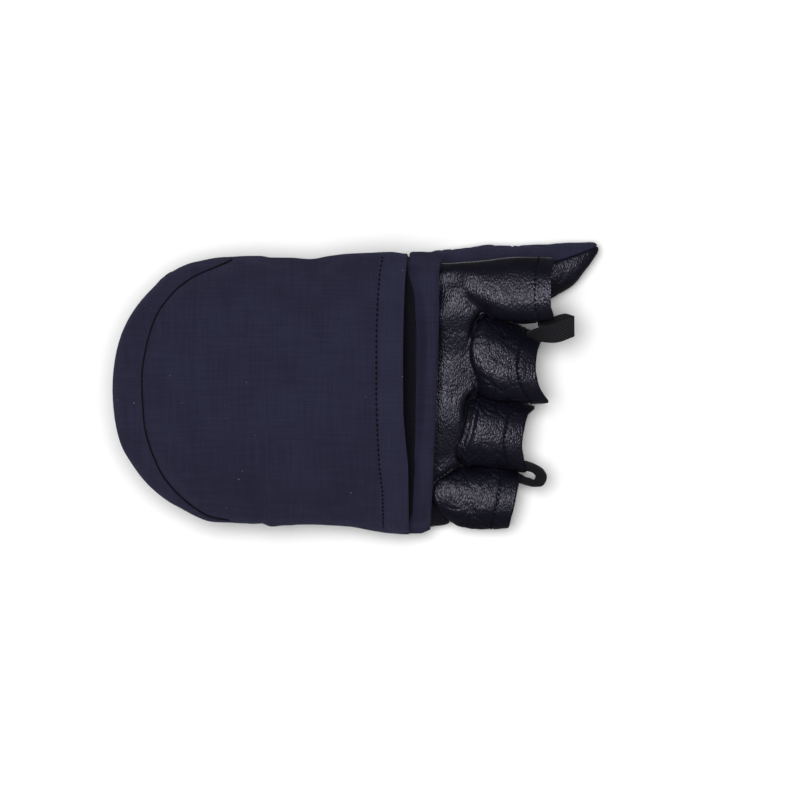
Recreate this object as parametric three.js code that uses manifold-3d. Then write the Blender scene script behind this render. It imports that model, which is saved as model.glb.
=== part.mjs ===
// Fold-back mountaineering mitten for the right hand, lying palm down.
// A leather glove with four open finger stalls and a closed thumb sits under a softshell back.
// The mitten cap is folded back over the hand: its mouth looks towards the fingers.
// Millimetres, +Z up, +X towards the fingertips, +Y towards the thumb, origin under the middle.
import * as THREE from "three";
import { mergeVertices } from "three/addons/utils/BufferGeometryUtils.js";
import Module from "manifold-3d";

const wasm = await Module();
wasm.setup();

// Driving dimensions
const wall = 1.6; // glove wall: leather, or softshell with its lining
const capWall = 2.2; // padded wall of the cap
const gap = 0.3; // between neighbouring pieces
const reach = 200; // longer than the mitten, for cutting regions
const bodySides = 28; // points round a section of the hand
const stallSides = 20;
const thumbSides = 20;
const capSides = 28;

// Hand sections. The centre line of a section climbs from the little finger side (zLittle)
// to the thumb side (zThumb), and rises by arch between them.
const hand = [
  { x: -71, yMid: -1.5, halfWidth: 38.5, zThumb: 18.0, zLittle: 17.4, arch: 0.0, halfHeight: 18.6 },
  { x: -62, yMid: -1.5, halfWidth: 37.5, zThumb: 18.0, zLittle: 17.2, arch: 0.0, halfHeight: 18.4 },
  { x: -45, yMid: -1.0, halfWidth: 43.5, zThumb: 19.0, zLittle: 16.2, arch: 0.4, halfHeight: 18.4 },
  { x: -28, yMid: -0.8, halfWidth: 46.5, zThumb: 21.5, zLittle: 14.5, arch: 0.8, halfHeight: 17.6 },
  { x: -10, yMid: -0.8, halfWidth: 48.2, zThumb: 25.0, zLittle: 12.4, arch: 1.2, halfHeight: 16.4 },
  { x: 10, yMid: -1.0, halfWidth: 49.2, zThumb: 28.8, zLittle: 10.2, arch: 1.5, halfHeight: 14.9 },
  { x: 24, yMid: -1.4, halfWidth: 49.3, zThumb: 31.0, zLittle: 9.0, arch: 1.5, halfHeight: 13.7 },
  { x: 32, yMid: -1.8, halfWidth: 48.8, zThumb: 31.3, zLittle: 8.6, arch: 1.5, halfHeight: 12.9 },
  { x: 38, yMid: -2.0, halfWidth: 47.8, zThumb: 31.3, zLittle: 8.5, arch: 1.5, halfHeight: 12.2 },
  { x: 44, yMid: -2.0, halfWidth: 45.5, zThumb: 31.0, zLittle: 8.7, arch: 1.5, halfHeight: 11.2 },
  { x: 47.5, yMid: -2.0, halfWidth: 42.5, zThumb: 30.4, zLittle: 9.4, arch: 1.5, halfHeight: 8.8 },
  { x: 50, yMid: -2.0, halfWidth: 38.0, zThumb: 29.6, zLittle: 10.4, arch: 1.5, halfHeight: 5.0 },
];
const handRound = { across: 2.6, up: 2.2 }; // exponents of a section's outline
const cuffEnd = -71;
const cuffSeam = -64;
const cuffExtra = 0.4; // the cuff's bound edge stands out by this much
const backSeam = 24; // softshell back to knuckle leather, hidden under the fold

// Thumb sections, from its root in the palm to its tip. It lies flattened on the surface.
const thumb = [
  { x: -44, yMid: 15.0, halfWidth: 14.0, zMid: 15.6, halfHeight: 12.6 },
  { x: -20, yMid: 26.5, halfWidth: 17.5, zMid: 13.8, halfHeight: 14.2 },
  { x: 0, yMid: 34.5, halfWidth: 15.0, zMid: 11.2, halfHeight: 12.0 },
  { x: 14, yMid: 37.7, halfWidth: 13.0, zMid: 9.2, halfHeight: 10.0 },
  { x: 28, yMid: 38.7, halfWidth: 12.4, zMid: 8.2, halfHeight: 9.0 },
  { x: 46, yMid: 41.0, halfWidth: 12.1, zMid: 8.1, halfHeight: 8.9 },
  { x: 60, yMid: 42.3, halfWidth: 11.1, zMid: 8.0, halfHeight: 8.7 },
  { x: 72, yMid: 43.6, halfWidth: 10.2, zMid: 7.8, halfHeight: 8.3 },
  { x: 80, yMid: 46.0, halfWidth: 8.1, zMid: 7.6, halfHeight: 7.4 },
  { x: 85.5, yMid: 49.2, halfWidth: 5.2, zMid: 7.6, halfHeight: 5.8 },
  { x: 88.6, yMid: 51.3, halfWidth: 3.1, zMid: 7.6, halfHeight: 4.0 },
  { x: 90.3, yMid: 52.1, halfWidth: 1.2, zMid: 7.6, halfHeight: 1.8 },
];
const thumbRound = { across: 2.2, up: 2.3 };
const thumbSeam = 19; // the thumb's own pieces start here
// The seam between the thumb's softshell back (towards +Y) and its leather, as y at x.
const thumbSplit = [
  { x: 15, y: 40.9 },
  { x: 45, y: 43.4 },
  { x: 62, y: 45.2 },
  { x: 74, y: 47.5 },
  { x: 82, y: 50.1 },
  { x: 92, y: 53.9 },
];
const splitEnd = 53; // the seam's y beyond the thumb's tip

// Finger stalls: root and hem are the middle of the tube at its seam and at its open end.
// seamAt is where the seam crosses the tube's middle; seamLean and seamBow bend it towards
// the tips on the thumb side and on both sides.
const stalls = {
  index: {
    root: [27, 37.3, 29.7], hem: [73.4, 36.0, 30.3], halfWidth: [9.4, 12.3],
    halfHeight: [9.6, 10.7], seamAt: 27, seamLean: 0, seamBow: 0,
  },
  middle: {
    root: [43, 12.2, 24.2], hem: [67.9, 7.1, 24.6], halfWidth: [15.4, 12.6],
    halfHeight: [12.3, 12.3], seamAt: 43.5, seamLean: 0, seamBow: 4.4,
  },
  ring: {
    root: [40, -15.2, 17.4], hem: [62.7, -19.0, 17.4], halfWidth: [12.9, 12.1],
    halfHeight: [12.1, 11.8], seamAt: 41.5, seamLean: 5.4, seamBow: 0.9,
  },
  little: {
    root: [30, -40.2, 10.9], hem: [57.9, -42.7, 10.4], halfWidth: [12.2, 10.1],
    halfHeight: [11.1, 10.6], seamAt: 28.2, seamLean: 3.3, seamBow: 6.2,
  },
};
const stallRound = 2.4;
const indexFrom = 47; // the index stall's own top starts here
const palmFront = 56;
const stallShoulder = 3.5; // length over which a stall swells out of its seam

// Cap seen from above: a half ellipse for its tip, then a nearly straight bag to its mouth.
const capTip = { xMid: -48, length: 42.5 };
const capSide = [
  { x: -48, yThumb: 48.4, yLittle: -49.4 },
  { x: -37, yThumb: 48.7, yLittle: -49.3 },
  { x: -31, yThumb: 48.2, yLittle: -50.6 },
  { x: -16.5, yThumb: 47.7, yLittle: -50.0 },
  { x: -11, yThumb: 49.1, yLittle: -50.4 },
  { x: 0, yThumb: 49.7, yLittle: -50.9 },
  { x: 9, yThumb: 49.9, yLittle: -52.5 },
  { x: 13, yThumb: 50.2, yLittle: -53.3 },
  { x: 20, yThumb: 49.7, yLittle: -53.5 },
];
const capThick = { edge: 5.4, middle: 15.0, mouth: 14.0 };
const capSeam = { xMid: -44, length: 35, halfWidth: 47.5, halfArc: 68 }; // curved seam round the tip
const hemSeam = 8.3;
const hemExtra = 0.5; // the hem is folded double
const hemEdge = [
  { y: -54, x: 19.4 },
  { y: -30, x: 19.1 },
  { y: -20, x: 18.2 },
  { y: -8, x: 17.3 },
  { y: 12, x: 17.2 },
  { y: 36, x: 17.8 },
  { y: 52, x: 19.0 },
];
const mouthLift = 2.2; // how far the cap's lower wall climbs to meet the fold

// Fold: a roll of softshell that turns the back into the cap's lower wall.
const foldBack = 18.6;
const foldNose = [
  { y: -53, x: 27.6 },
  { y: -30, x: 28.8 },
  { y: 0, x: 30.1 },
  { y: 30, x: 30.9 },
  { y: 50, x: 30.9 },
];
const foldHeight = 5.6;
const foldWall = 1.6;

// Pull loops: tape swept along points, each with the direction of the tape's width.
const tape = { width: 5.6, thick: 1.0 };
const loops = {
  index: [
    { at: [63.5, 19.6, 30.2], across: [0.1, 1, 0.25] },
    { at: [69, 19.9, 30.8], across: [0.05, 1, 0.15] },
    { at: [75, 20.0, 31.0], across: [0, 1, 0.05] },
    { at: [80, 20.1, 30.6], across: [0, 1, 0] },
    { at: [81.4, 20.7, 29.2], across: [0, 1, 0] },
    { at: [80.6, 22.2, 27.7], across: [0.1, 1, 0] },
    { at: [77, 23.9, 26.9], across: [0.2, 1, 0] },
    { at: [72.5, 25.2, 26.6], across: [0.2, 1, -0.1] },
    { at: [67.5, 26.6, 26.6], across: [0.2, 1, -0.2] },
  ],
  little: [
    { at: [57, -29.2, 19.6], across: [0, 0.25, 1] },
    { at: [62, -30.2, 19.6], across: [0, 0.35, 1] },
    { at: [66.5, -31.6, 19.4], across: [0.1, 0.45, 1] },
    { at: [69.3, -33.4, 18.8], across: [0.3, 0.4, 1] },
    { at: [69.2, -35.6, 18.0], across: [0.3, 0.1, 1] },
    { at: [66.6, -36.5, 17.4], across: [0.1, -0.1, 1] },
    { at: [62.5, -35.3, 17.0], across: [0, 0, 1] },
    { at: [57.5, -33.9, 16.8], across: [0, 0, 1] },
  ],
};

// Smooth value of one column of a table at t, where by names the column that t runs along.
function column(table, by, name, t) {
  const last = table.length - 1;
  let i = 0;
  while (i < last - 1 && t > table[i + 1][by]) i += 1;
  const slope = (a, b) => (table[b][name] - table[a][name]) / (table[b][by] - table[a][by]);
  const width = table[i + 1][by] - table[i][by];
  const s = THREE.MathUtils.clamp((t - table[i][by]) / width, 0, 1);
  const mid = slope(i, i + 1);
  const tangent = (k) => {
    if (k === 0 || k === last) return mid;
    const before = slope(k - 1, k);
    const after = slope(k, k + 1);
    return before * after <= 0 ? 0 : (2 * before * after) / (before + after);
  };
  const [m0, m1] = [tangent(i) * width, tangent(i + 1) * width];
  const [p0, p1] = [table[i][name], table[i + 1][name]];
  const s2 = s * s;
  const s3 = s2 * s;
  const fromFirst = (2 * s3 - 3 * s2 + 1) * p0 + (s3 - 2 * s2 + s) * m0;
  return fromFirst + (3 * s2 - 2 * s3) * p1 + (s3 - s2) * m1;
}

const rounded = (value, exponent) => Math.sign(value) * Math.abs(value) ** (2 / exponent);
const steps = (from, to, count) =>
  Array.from({ length: count + 1 }, (_, i) => from + ((to - from) * i) / count);
const angles = (sides) => Array.from({ length: sides }, (_, i) => (2 * Math.PI * i) / sides);

// Closed geometry through rings of equal length. flat maps a ring's point to 2D for its end faces;
// without it an end face is a fan.
function loft(rings, flat) {
  const count = rings[0].length;
  const positions = rings.flat().flatMap((p) => [p.x, p.y, p.z]);
  const index = [];
  for (let r = 0; r < rings.length - 1; r += 1) {
    for (let i = 0; i < count; i += 1) {
      const [a, b] = [r * count + i, r * count + ((i + 1) % count)];
      index.push(a, b, b + count, a, b + count, a + count);
    }
  }
  const fan = rings[0].slice(2).map((_, i) => [0, i + 1, i + 2]);
  const endFaces = (ring) => (flat ? THREE.ShapeUtils.triangulateShape(ring.map(flat), []) : fan);
  for (const [a, b, c] of endFaces(rings[0])) index.push(a, c, b);
  const offset = (rings.length - 1) * count;
  for (const [a, b, c] of endFaces(rings.at(-1))) index.push(offset + a, offset + b, offset + c);
  const geometry = new THREE.BufferGeometry();
  geometry.setAttribute("position", new THREE.Float32BufferAttribute(positions, 3));
  geometry.setIndex(index);
  return geometry;
}

// A closed geometry as a solid that can be joined and cut.
function solid(geometry) {
  const bare = new THREE.BufferGeometry();
  bare.setAttribute("position", geometry.getAttribute("position"));
  bare.setIndex(geometry.getIndex());
  const merged = mergeVertices(bare, 1e-4);
  const build = (triVerts) =>
    new wasm.Manifold(
      new wasm.Mesh({ numProp: 3, vertProperties: merged.attributes.position.array, triVerts }),
    );
  const triVerts = new Uint32Array(merged.index.array);
  const made = build(triVerts);
  return made.volume() > 0 ? made : build(triVerts.map((_, i) => triVerts[i - (i % 3) + 2 - (i % 3)]));
}

// Solid between two heights over a rectangle.
function between(low, high, xs, ys) {
  const rings = xs.map((x) => [
    ...ys.map((y) => new THREE.Vector3(x, y, low(x, y))),
    ...[...ys].reverse().map((y) => new THREE.Vector3(x, y, high(x, y))),
  ]);
  return solid(loft(rings, (p) => new THREE.Vector2(p.y, p.z)));
}

// Upright solid over an outline of [x, y] points.
function upright(outline) {
  const shape = new THREE.Shape(outline.map(([x, y]) => new THREE.Vector2(x, y)));
  const block = new THREE.ExtrudeGeometry(shape, { depth: 2 * reach, bevelEnabled: false });
  block.translate(0, 0, -reach);
  return solid(mergeVertices(stripped(block), 1e-4));
}

function stripped(geometry) {
  geometry.deleteAttribute("normal");
  geometry.deleteAttribute("uv");
  return geometry;
}

const slab = (fromX, toX) => upright([[fromX, -reach], [toX, -reach], [toX, reach], [fromX, reach]]);

// Height of the hand's middle line at a place
function handMiddle(x, y) {
  const across = (y - column(hand, "x", "yMid", x)) / column(hand, "x", "halfWidth", x);
  const u = THREE.MathUtils.clamp(across, -1.1, 1.1);
  const zLittle = column(hand, "x", "zLittle", x);
  const climb = (column(hand, "x", "zThumb", x) - zLittle) * (u + 1) * 0.5;
  return zLittle + climb + column(hand, "x", "arch", x) * (1 - u * u);
}

// Outer form of the hand, grown by offset. A negative one gives the hollow, open at the wrist.
function handForm(offset) {
  const frontX = hand.at(-1).x + offset;
  const xs = [offset < 0 ? cuffEnd - 6 : cuffEnd, -62, -45, -28, -12, 4, 18, 30, 38, 43, 47, frontX];
  const rings = xs.map((x) => {
    const at = Math.min(x - (x > 40 ? offset : 0), hand.at(-1).x);
    const size = (name) => column(hand, "x", name, at);
    return angles(bodySides).map((angle) => {
      const y = size("yMid") + (size("halfWidth") + offset) * rounded(Math.cos(angle), handRound.across);
      const rise = (size("halfHeight") + offset) * rounded(Math.sin(angle), handRound.up);
      const z = handMiddle(at, y) + rise;
      return new THREE.Vector3(x, y, z);
    });
  });
  return solid(loft(rings, (p) => new THREE.Vector2(p.y, p.z)));
}

function thumbForm(offset) {
  const rings = thumb.map(({ x, yMid, halfWidth, zMid, halfHeight }) => {
    const tip = THREE.MathUtils.smoothstep(x, 80, 90);
    const across = Math.max(halfWidth + offset, 0.4);
    const up = Math.max(halfHeight + offset, 0.4);
    return angles(thumbSides).map((angle) => {
      const y = yMid + across * rounded(Math.cos(angle), thumbRound.across);
      const z = zMid + up * rounded(Math.sin(angle), thumbRound.up);
      return new THREE.Vector3(x + offset * tip, y, z);
    });
  });
  return solid(loft(rings, (p) => new THREE.Vector2(p.y, p.z)));
}

// One stall: rings run from its bent seam to its straight hem.
function stallForm(stall, offset) {
  const root = new THREE.Vector3(...stall.root);
  const hem = new THREE.Vector3(...stall.hem);
  const along = hem.clone().sub(root).normalize();
  const across = new THREE.Vector3(-along.y, along.x, 0).normalize();
  const up = along.clone().cross(across).normalize();
  const length = hem.distanceTo(root);
  const seamX = (v) => stall.seamAt + stall.seamLean * v + stall.seamBow * Math.abs(v) ** 3;
  const hollow = offset < 0;
  const stations = hollow
    ? [-10, -4, 0, stallShoulder, length * 0.6, length + 4]
    : [-offset, 0.6, stallShoulder, length * 0.5, length + offset];
  const rings = stations.map((distance) => {
    const share = THREE.MathUtils.clamp(distance / length, 0, 1);
    const swell = hollow
      ? 0.62 + 0.38 * THREE.MathUtils.smoothstep(distance, -8, stallShoulder)
      : 0.78 + 0.22 * (1 - (1 - THREE.MathUtils.clamp(distance / stallShoulder, 0, 1)) ** 2.4) ** (1 / 2.4);
    const w = THREE.MathUtils.lerp(...stall.halfWidth, share) + offset;
    const h = THREE.MathUtils.lerp(...stall.halfHeight, share) + offset;
    return angles(stallSides).map((angle) => {
      const [v, s] = [rounded(Math.cos(angle), stallRound), rounded(Math.sin(angle), stallRound)];
      const bend = ((1 - share) * (seamX(v) - stall.root[0])) / along.x;
      return root
        .clone()
        .addScaledVector(along, distance + bend)
        .addScaledVector(across, w * swell * v)
        .addScaledVector(up, h * swell * s);
    });
  });
  return solid(loft(rings, (p) => new THREE.Vector2(p.y, p.z)));
}

// The cap's half width to each side of its middle at x
function capSpan(x) {
  if (x >= capTip.xMid) {
    return { yThumb: column(capSide, "x", "yThumb", x), yLittle: column(capSide, "x", "yLittle", x) };
  }
  const round = Math.sqrt(Math.max(0, 1 - ((x - capTip.xMid) / capTip.length) ** 2));
  const { yThumb, yLittle } = capSide[0];
  return { yThumb: yThumb * round, yLittle: yLittle * round };
}

// Height of the surface that the cap and fold lie on: the hand's upper skin, widened to the cap's sides
function drape(x, y) {
  const at = Math.max(x, cuffEnd);
  const { yThumb, yLittle } = capSpan(x);
  const reachOut = Math.max(column(hand, "x", "halfWidth", at), (yThumb - yLittle) / 2) + 1.8;
  const across = Math.abs(y - column(hand, "x", "yMid", at)) / reachOut;
  const drop = Math.max(0, 1 - across ** (handRound.across + 0.4)) ** (1 / handRound.up);
  return handMiddle(at, y) + column(hand, "x", "halfHeight", at) * drop + (x < cuffSeam + 4 ? 0.9 : 0.5);
}

// Underside of the cap, climbing to the fold
const capUnder = (x, y) => drape(x, y) + mouthLift * THREE.MathUtils.smoothstep(x, 0, foldBack);

// Sections of the cap at growing x. A grown or shrunk cap stretches its tip to match.
function capSections(offset) {
  const length = capTip.length + offset;
  const curl = steps(12, 90, 7).map((degrees) => {
    const cosine = Math.cos(THREE.MathUtils.degToRad(degrees));
    return { x: capTip.xMid - length * cosine, at: capTip.xMid - capTip.length * cosine };
  });
  const mouth = offset < -1 ? [foldBack - gap, foldBack + 8] : [foldBack - gap];
  const bag = [-37, -31, -16.5, -11, 0, 10, ...mouth].map((x) => ({ x, at: x }));
  return [...curl, ...bag].map(({ x, at }) => {
    const { yThumb, yLittle } = capSpan(at);
    const yMid = (yThumb + yLittle) / 2;
    const halfWidth = (yThumb - yLittle) / 2;
    const tip = THREE.MathUtils.smoothstep(at, capTip.xMid - capTip.length, capTip.xMid - 26);
    const flare = THREE.MathUtils.smoothstep(at, -5, foldBack);
    const puff = THREE.MathUtils.lerp(capThick.middle, capThick.mouth, flare) - capThick.edge;
    const thick = (y) =>
      capThick.edge + puff * tip * Math.max(0, 1 - Math.abs((y - yMid) / halfWidth) ** 2.4);
    return { x, yMid, halfWidth: Math.max(halfWidth + offset, 1.2), thick };
  });
}

function capForm(offset) {
  const rings = capSections(offset).map(({ x, yMid, halfWidth, thick }) =>
    angles(capSides).map((angle) => {
      const y = yMid + halfWidth * rounded(Math.cos(angle), 2.6);
      const half = thick(y) / 2;
      return new THREE.Vector3(x, y, capUnder(x, y) + half + (half + offset) * rounded(Math.sin(angle), 3));
    }),
  );
  return solid(loft(rings, (p) => new THREE.Vector2(p.y, p.z)));
}

// Everything above the surface midway between the cap's two walls
function aboveCapMiddle(shift) {
  const sections = capSections(0);
  const outer = [{ ...sections[0], x: -reach }, ...sections, { ...sections.at(-1), x: reach }];
  const rings = outer.map(({ x, yMid, halfWidth, thick }) => {
    const ys = steps(0, 180, capSides / 2).map(
      (degrees) => yMid - halfWidth * rounded(Math.cos(THREE.MathUtils.degToRad(degrees)), 2.6),
    );
    const at = THREE.MathUtils.clamp(x, capTip.xMid - capTip.length, foldBack);
    const low = ys.map((y) => new THREE.Vector3(x, y, capUnder(at, y) + thick(y) / 2 + shift));
    const [first, last] = [low[0], low.at(-1)];
    return [
      new THREE.Vector3(x, -reach, first.z),
      ...low,
      new THREE.Vector3(x, reach, last.z),
      new THREE.Vector3(x, reach, reach),
      new THREE.Vector3(x, -reach, reach),
    ];
  });
  return solid(loft(rings, (p) => new THREE.Vector2(p.y, p.z)));
}

// The cap's face inside its curved seam, grown by shift
function insideCapSeam(shift) {
  const curve = steps(-capSeam.halfArc, capSeam.halfArc, 14).map((degrees) => {
    const turn = THREE.MathUtils.degToRad(degrees);
    return [
      capSeam.xMid - (capSeam.length + shift) * Math.cos(turn),
      -(capSeam.halfWidth + shift) * Math.sin(turn),
    ];
  });
  const side = curve.at(-1)[0];
  return upright([...curve, [side, -reach], [reach, -reach], [reach, reach], [side, reach]]);
}

function foldForm() {
  const rings = steps(-52.6, 49.6, 14).map((y) => {
    const nose = column(foldNose, "y", "x", y);
    const middleX = nose - foldHeight / 2;
    const arc = (radius, from, to) =>
      steps(from, to, 5).map((degrees) => {
        const turn = THREE.MathUtils.degToRad(degrees);
        return [middleX + radius * Math.cos(turn), foldHeight / 2 + radius * Math.sin(turn)];
      });
    const outer = [[foldBack, 0], ...arc(foldHeight / 2, -90, 110), [foldBack, mouthLift + foldWall]];
    const inner = [[foldBack, mouthLift], ...arc(foldHeight / 2 - foldWall, 110, -90), [foldBack, foldWall]];
    return [...outer, ...inner].map(([x, z]) => {
      const rest = drape(Math.min(x, backSeam), y);
      return new THREE.Vector3(x, y, rest + z);
    });
  });
  return solid(loft(rings, (p) => new THREE.Vector2(p.x, p.z)));
}

// Tape swept through its points; both ends run on into the stalls and are cut there.
function tapeForm(points) {
  const curve = new THREE.CatmullRomCurve3(points.map((p) => new THREE.Vector3(...p.at)));
  const widths = new THREE.CatmullRomCurve3(points.map((p) => new THREE.Vector3(...p.across)));
  const rings = steps(0, 1, 16).map((t) => {
    const middle = curve.getPoint(t);
    const along = curve.getTangent(t);
    const face = along.clone().cross(widths.getPoint(t)).normalize();
    const across = face.clone().cross(along).normalize();
    return [[-1, -1], [1, -1], [1, 1], [-1, 1]].map(([a, f]) =>
      middle
        .clone()
        .addScaledVector(across, (a * tape.width) / 2)
        .addScaledVector(face, (f * tape.thick) / 2),
    );
  });
  return solid(loft(rings));
}

// Forms and hollows of the glove
const onSurface = slab(-reach, reach).translate([0, 0, reach]);
const stallNames = Object.keys(stalls);
const stallSolids = Object.fromEntries(stallNames.map((name) => [name, stallForm(stalls[name], 0)]));
const stallsGrown = Object.fromEntries(stallNames.map((name) => [name, stallForm(stalls[name], gap)]));
const glove = handForm(0).add(thumbForm(0)).add(stallSolids.index).intersect(onSurface);
const hollow = [thumbForm(-wall), ...stallNames.map((name) => stallForm(stalls[name], -wall))]
  .reduce((all, form) => all.add(form), handForm(-wall))
  .intersect(onSurface.translate([0, 0, wall]));

let leather = glove.subtract(hollow);
for (const name of ["middle", "ring", "little"]) leather = leather.subtract(stallsGrown[name]);

const thumbRegion = (from) => thumbForm(gap).intersect(slab(from, reach));
const thumbShell = leather.intersect(thumbRegion(thumbSeam + gap));
const handShell = leather.subtract(thumbRegion(thumbSeam));
const splitSide = (shift) => {
  const along = steps(thumbSeam - 4, thumbSplit.at(-1).x, 12);
  return upright([
    ...along.map((x) => [x, column(thumbSplit, "x", "y", x) + shift]),
    [reach, splitEnd + shift], [reach, reach], [thumbSeam - 4, reach],
  ]);
};

const upperHalf = (shift) =>
  between(
    (x, y) => handMiddle(x, y) + shift,
    () => reach,
    [-80, -62, -45, -28, -10, 10, 24, 34, 44, 54],
    [-60, -38, 38, 60],
  );
const indexTube = (from, grow) => (grow ? stallsGrown : stallSolids).index.intersect(slab(from, reach));
const aboveShell = handShell
  .intersect(upperHalf(gap / 2))
  .add(handShell.intersect(indexTube(indexFrom, false)));
const belowShell = handShell
  .subtract(upperHalf(-gap / 2))
  .subtract(indexTube(indexFrom - gap, true))
  .intersect(slab(-reach, palmFront));
const cuffBand = handForm(cuffExtra)
  .intersect(onSurface)
  .subtract(hollow)
  .intersect(slab(cuffEnd - 1, cuffSeam));

// Stalls cut by the hollow and by the neighbour that lies over them
function stallShell(name, over) {
  const cut = over.reduce((left, other) => left.subtract(stallsGrown[other]), stallSolids[name]);
  return cut.subtract(hollow).intersect(onSurface);
}

// Cap walls
const capRoom = capForm(-capWall);
const capShell = capForm(0).subtract(capRoom);
const hemFront = (shift) =>
  upright([
    [hemSeam + shift, -60],
    ...steps(-54, 52, 16).map((y) => [column(hemEdge, "y", "x", y), y]),
    [hemSeam + shift, 60],
  ]);
const capFace = capShell.intersect(insideCapSeam(-gap / 2)).intersect(aboveCapMiddle(gap / 2));
const capBack = capShell.subtract(insideCapSeam(gap / 2).intersect(aboveCapMiddle(-gap / 2)));
const hemBand = capForm(hemExtra)
  .subtract(capForm(-capWall))
  .intersect(aboveCapMiddle(gap / 2))
  .intersect(hemFront(gap));

const colours = {
  softshell: new THREE.MeshStandardMaterial({ color: 0x2a2a3a, roughness: 0.92, metalness: 0 }),
  leather: new THREE.MeshStandardMaterial({ color: 0x1a1a20, roughness: 0.42, metalness: 0 }),
  tape: new THREE.MeshStandardMaterial({ color: 0x151518, roughness: 0.85, metalness: 0 }),
  binding: new THREE.MeshStandardMaterial({ color: 0x1d1d27, roughness: 0.9, metalness: 0 }),
};

function piece(name, made, material) {
  const { vertProperties, triVerts } = made.getMesh();
  const geometry = new THREE.BufferGeometry();
  geometry.setAttribute("position", new THREE.BufferAttribute(vertProperties, 3));
  geometry.setIndex(new THREE.BufferAttribute(triVerts, 1));
  geometry.computeVertexNormals();
  const mesh = new THREE.Mesh(geometry, material);
  mesh.name = name;
  return mesh;
}

const tapeLoop = (points, hosts) =>
  hosts.reduce((left, name) => left.subtract(stallsGrown[name]), tapeForm(points)).subtract(glove);

const gloveGroup = new THREE.Group();
gloveGroup.add(
  piece("back_shell", aboveShell.intersect(slab(cuffSeam + gap, backSeam - gap / 2)), colours.softshell),
  piece("knuckle_leather", aboveShell.intersect(slab(backSeam + gap / 2, reach)), colours.leather),
  piece("palm_leather", belowShell.intersect(slab(cuffSeam + gap, reach)), colours.leather),
  piece("wrist_cuff", cuffBand, colours.binding),
  piece("thumb_back", thumbShell.intersect(splitSide(gap / 2)), colours.softshell),
  piece("thumb_leather", thumbShell.subtract(splitSide(-gap / 2)), colours.leather),
  piece("middle_stall", stallShell("middle", []), colours.leather),
  piece("ring_stall", stallShell("ring", ["middle"]), colours.leather),
  piece("little_stall", stallShell("little", ["ring"]), colours.leather),
  piece("index_loop", tapeLoop(loops.index, ["index", "middle"]), colours.tape),
  piece("little_loop", tapeLoop(loops.little, ["ring", "little"]), colours.tape),
);

const capGroup = new THREE.Group();
capGroup.add(
  piece("cap_fold", foldForm().subtract(handForm(gap)), colours.softshell),
  piece("cap_back", capBack, colours.softshell),
  piece("cap_face", capFace.intersect(slab(-reach, hemSeam)), colours.softshell),
  piece("cap_hem", hemBand, colours.softshell),
);

const mitten = new THREE.Group();
mitten.add(gloveGroup, capGroup);

export default mitten;
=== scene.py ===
# Looks of the fold-back mountaineering mitten, built round its CAD model.
# Tables are in millimetres: +X towards the fingertips, +Y towards the thumb, +Z up.
import math
import bpy
import numpy as np
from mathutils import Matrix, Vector
from mathutils.kdtree import KDTree


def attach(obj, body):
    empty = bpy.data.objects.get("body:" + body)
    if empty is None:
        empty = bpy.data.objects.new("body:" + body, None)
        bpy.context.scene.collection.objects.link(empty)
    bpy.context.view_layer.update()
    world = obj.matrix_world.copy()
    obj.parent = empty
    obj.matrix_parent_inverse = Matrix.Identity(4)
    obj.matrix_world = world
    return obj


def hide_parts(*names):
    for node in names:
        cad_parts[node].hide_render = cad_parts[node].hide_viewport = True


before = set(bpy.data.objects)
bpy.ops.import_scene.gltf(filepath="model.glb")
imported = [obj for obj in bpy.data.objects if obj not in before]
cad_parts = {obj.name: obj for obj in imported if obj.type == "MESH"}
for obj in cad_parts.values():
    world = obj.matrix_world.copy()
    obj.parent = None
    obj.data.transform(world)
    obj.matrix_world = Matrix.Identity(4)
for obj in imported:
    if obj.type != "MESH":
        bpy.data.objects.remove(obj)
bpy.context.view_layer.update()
print("CAD model loaded")


# ---- measuring helpers

def smoothCurve(rows):
    # a monotone curve through (at, value) rows
    ats, values = np.array(rows, float).T
    widths = np.diff(ats)
    slopes = np.diff(values) / widths
    tangents = np.zeros(len(ats))
    tangents[0], tangents[-1] = slopes[0], slopes[-1]
    before, after = slopes[:-1], slopes[1:]
    total = np.where(before * after > 0, before + after, 1)
    tangents[1:-1] = np.where(before * after > 0, 2 * before * after / total, 0)

    def value(at):
        at = np.clip(np.asarray(at, float), ats[0], ats[-1])
        i = np.clip(np.searchsorted(ats, at, side="right") - 1, 0, len(ats) - 2)
        s = (at - ats[i]) / widths[i]
        first = (2 * s**3 - 3 * s**2 + 1) * values[i] + (s**3 - 2 * s**2 + s) * tangents[i] * widths[i]
        return first + (3 * s**2 - 2 * s**3) * values[i + 1] + (s**3 - s**2) * tangents[i + 1] * widths[i]

    return value


def columns(names, rows):
    # one smooth curve for each column after the first
    return {name: smoothCurve([(row[0], row[i + 1]) for row in rows]) for i, name in enumerate(names)}


def rounded(value, exponent):
    return np.sign(value) * np.abs(value) ** (2 / exponent)


def smoothstep(low, high, value):
    s = np.clip((value - low) / (high - low), 0, 1)
    return s * s * (3 - 2 * s)


def mixed(first, second, share):
    return first + (second - first) * share


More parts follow.
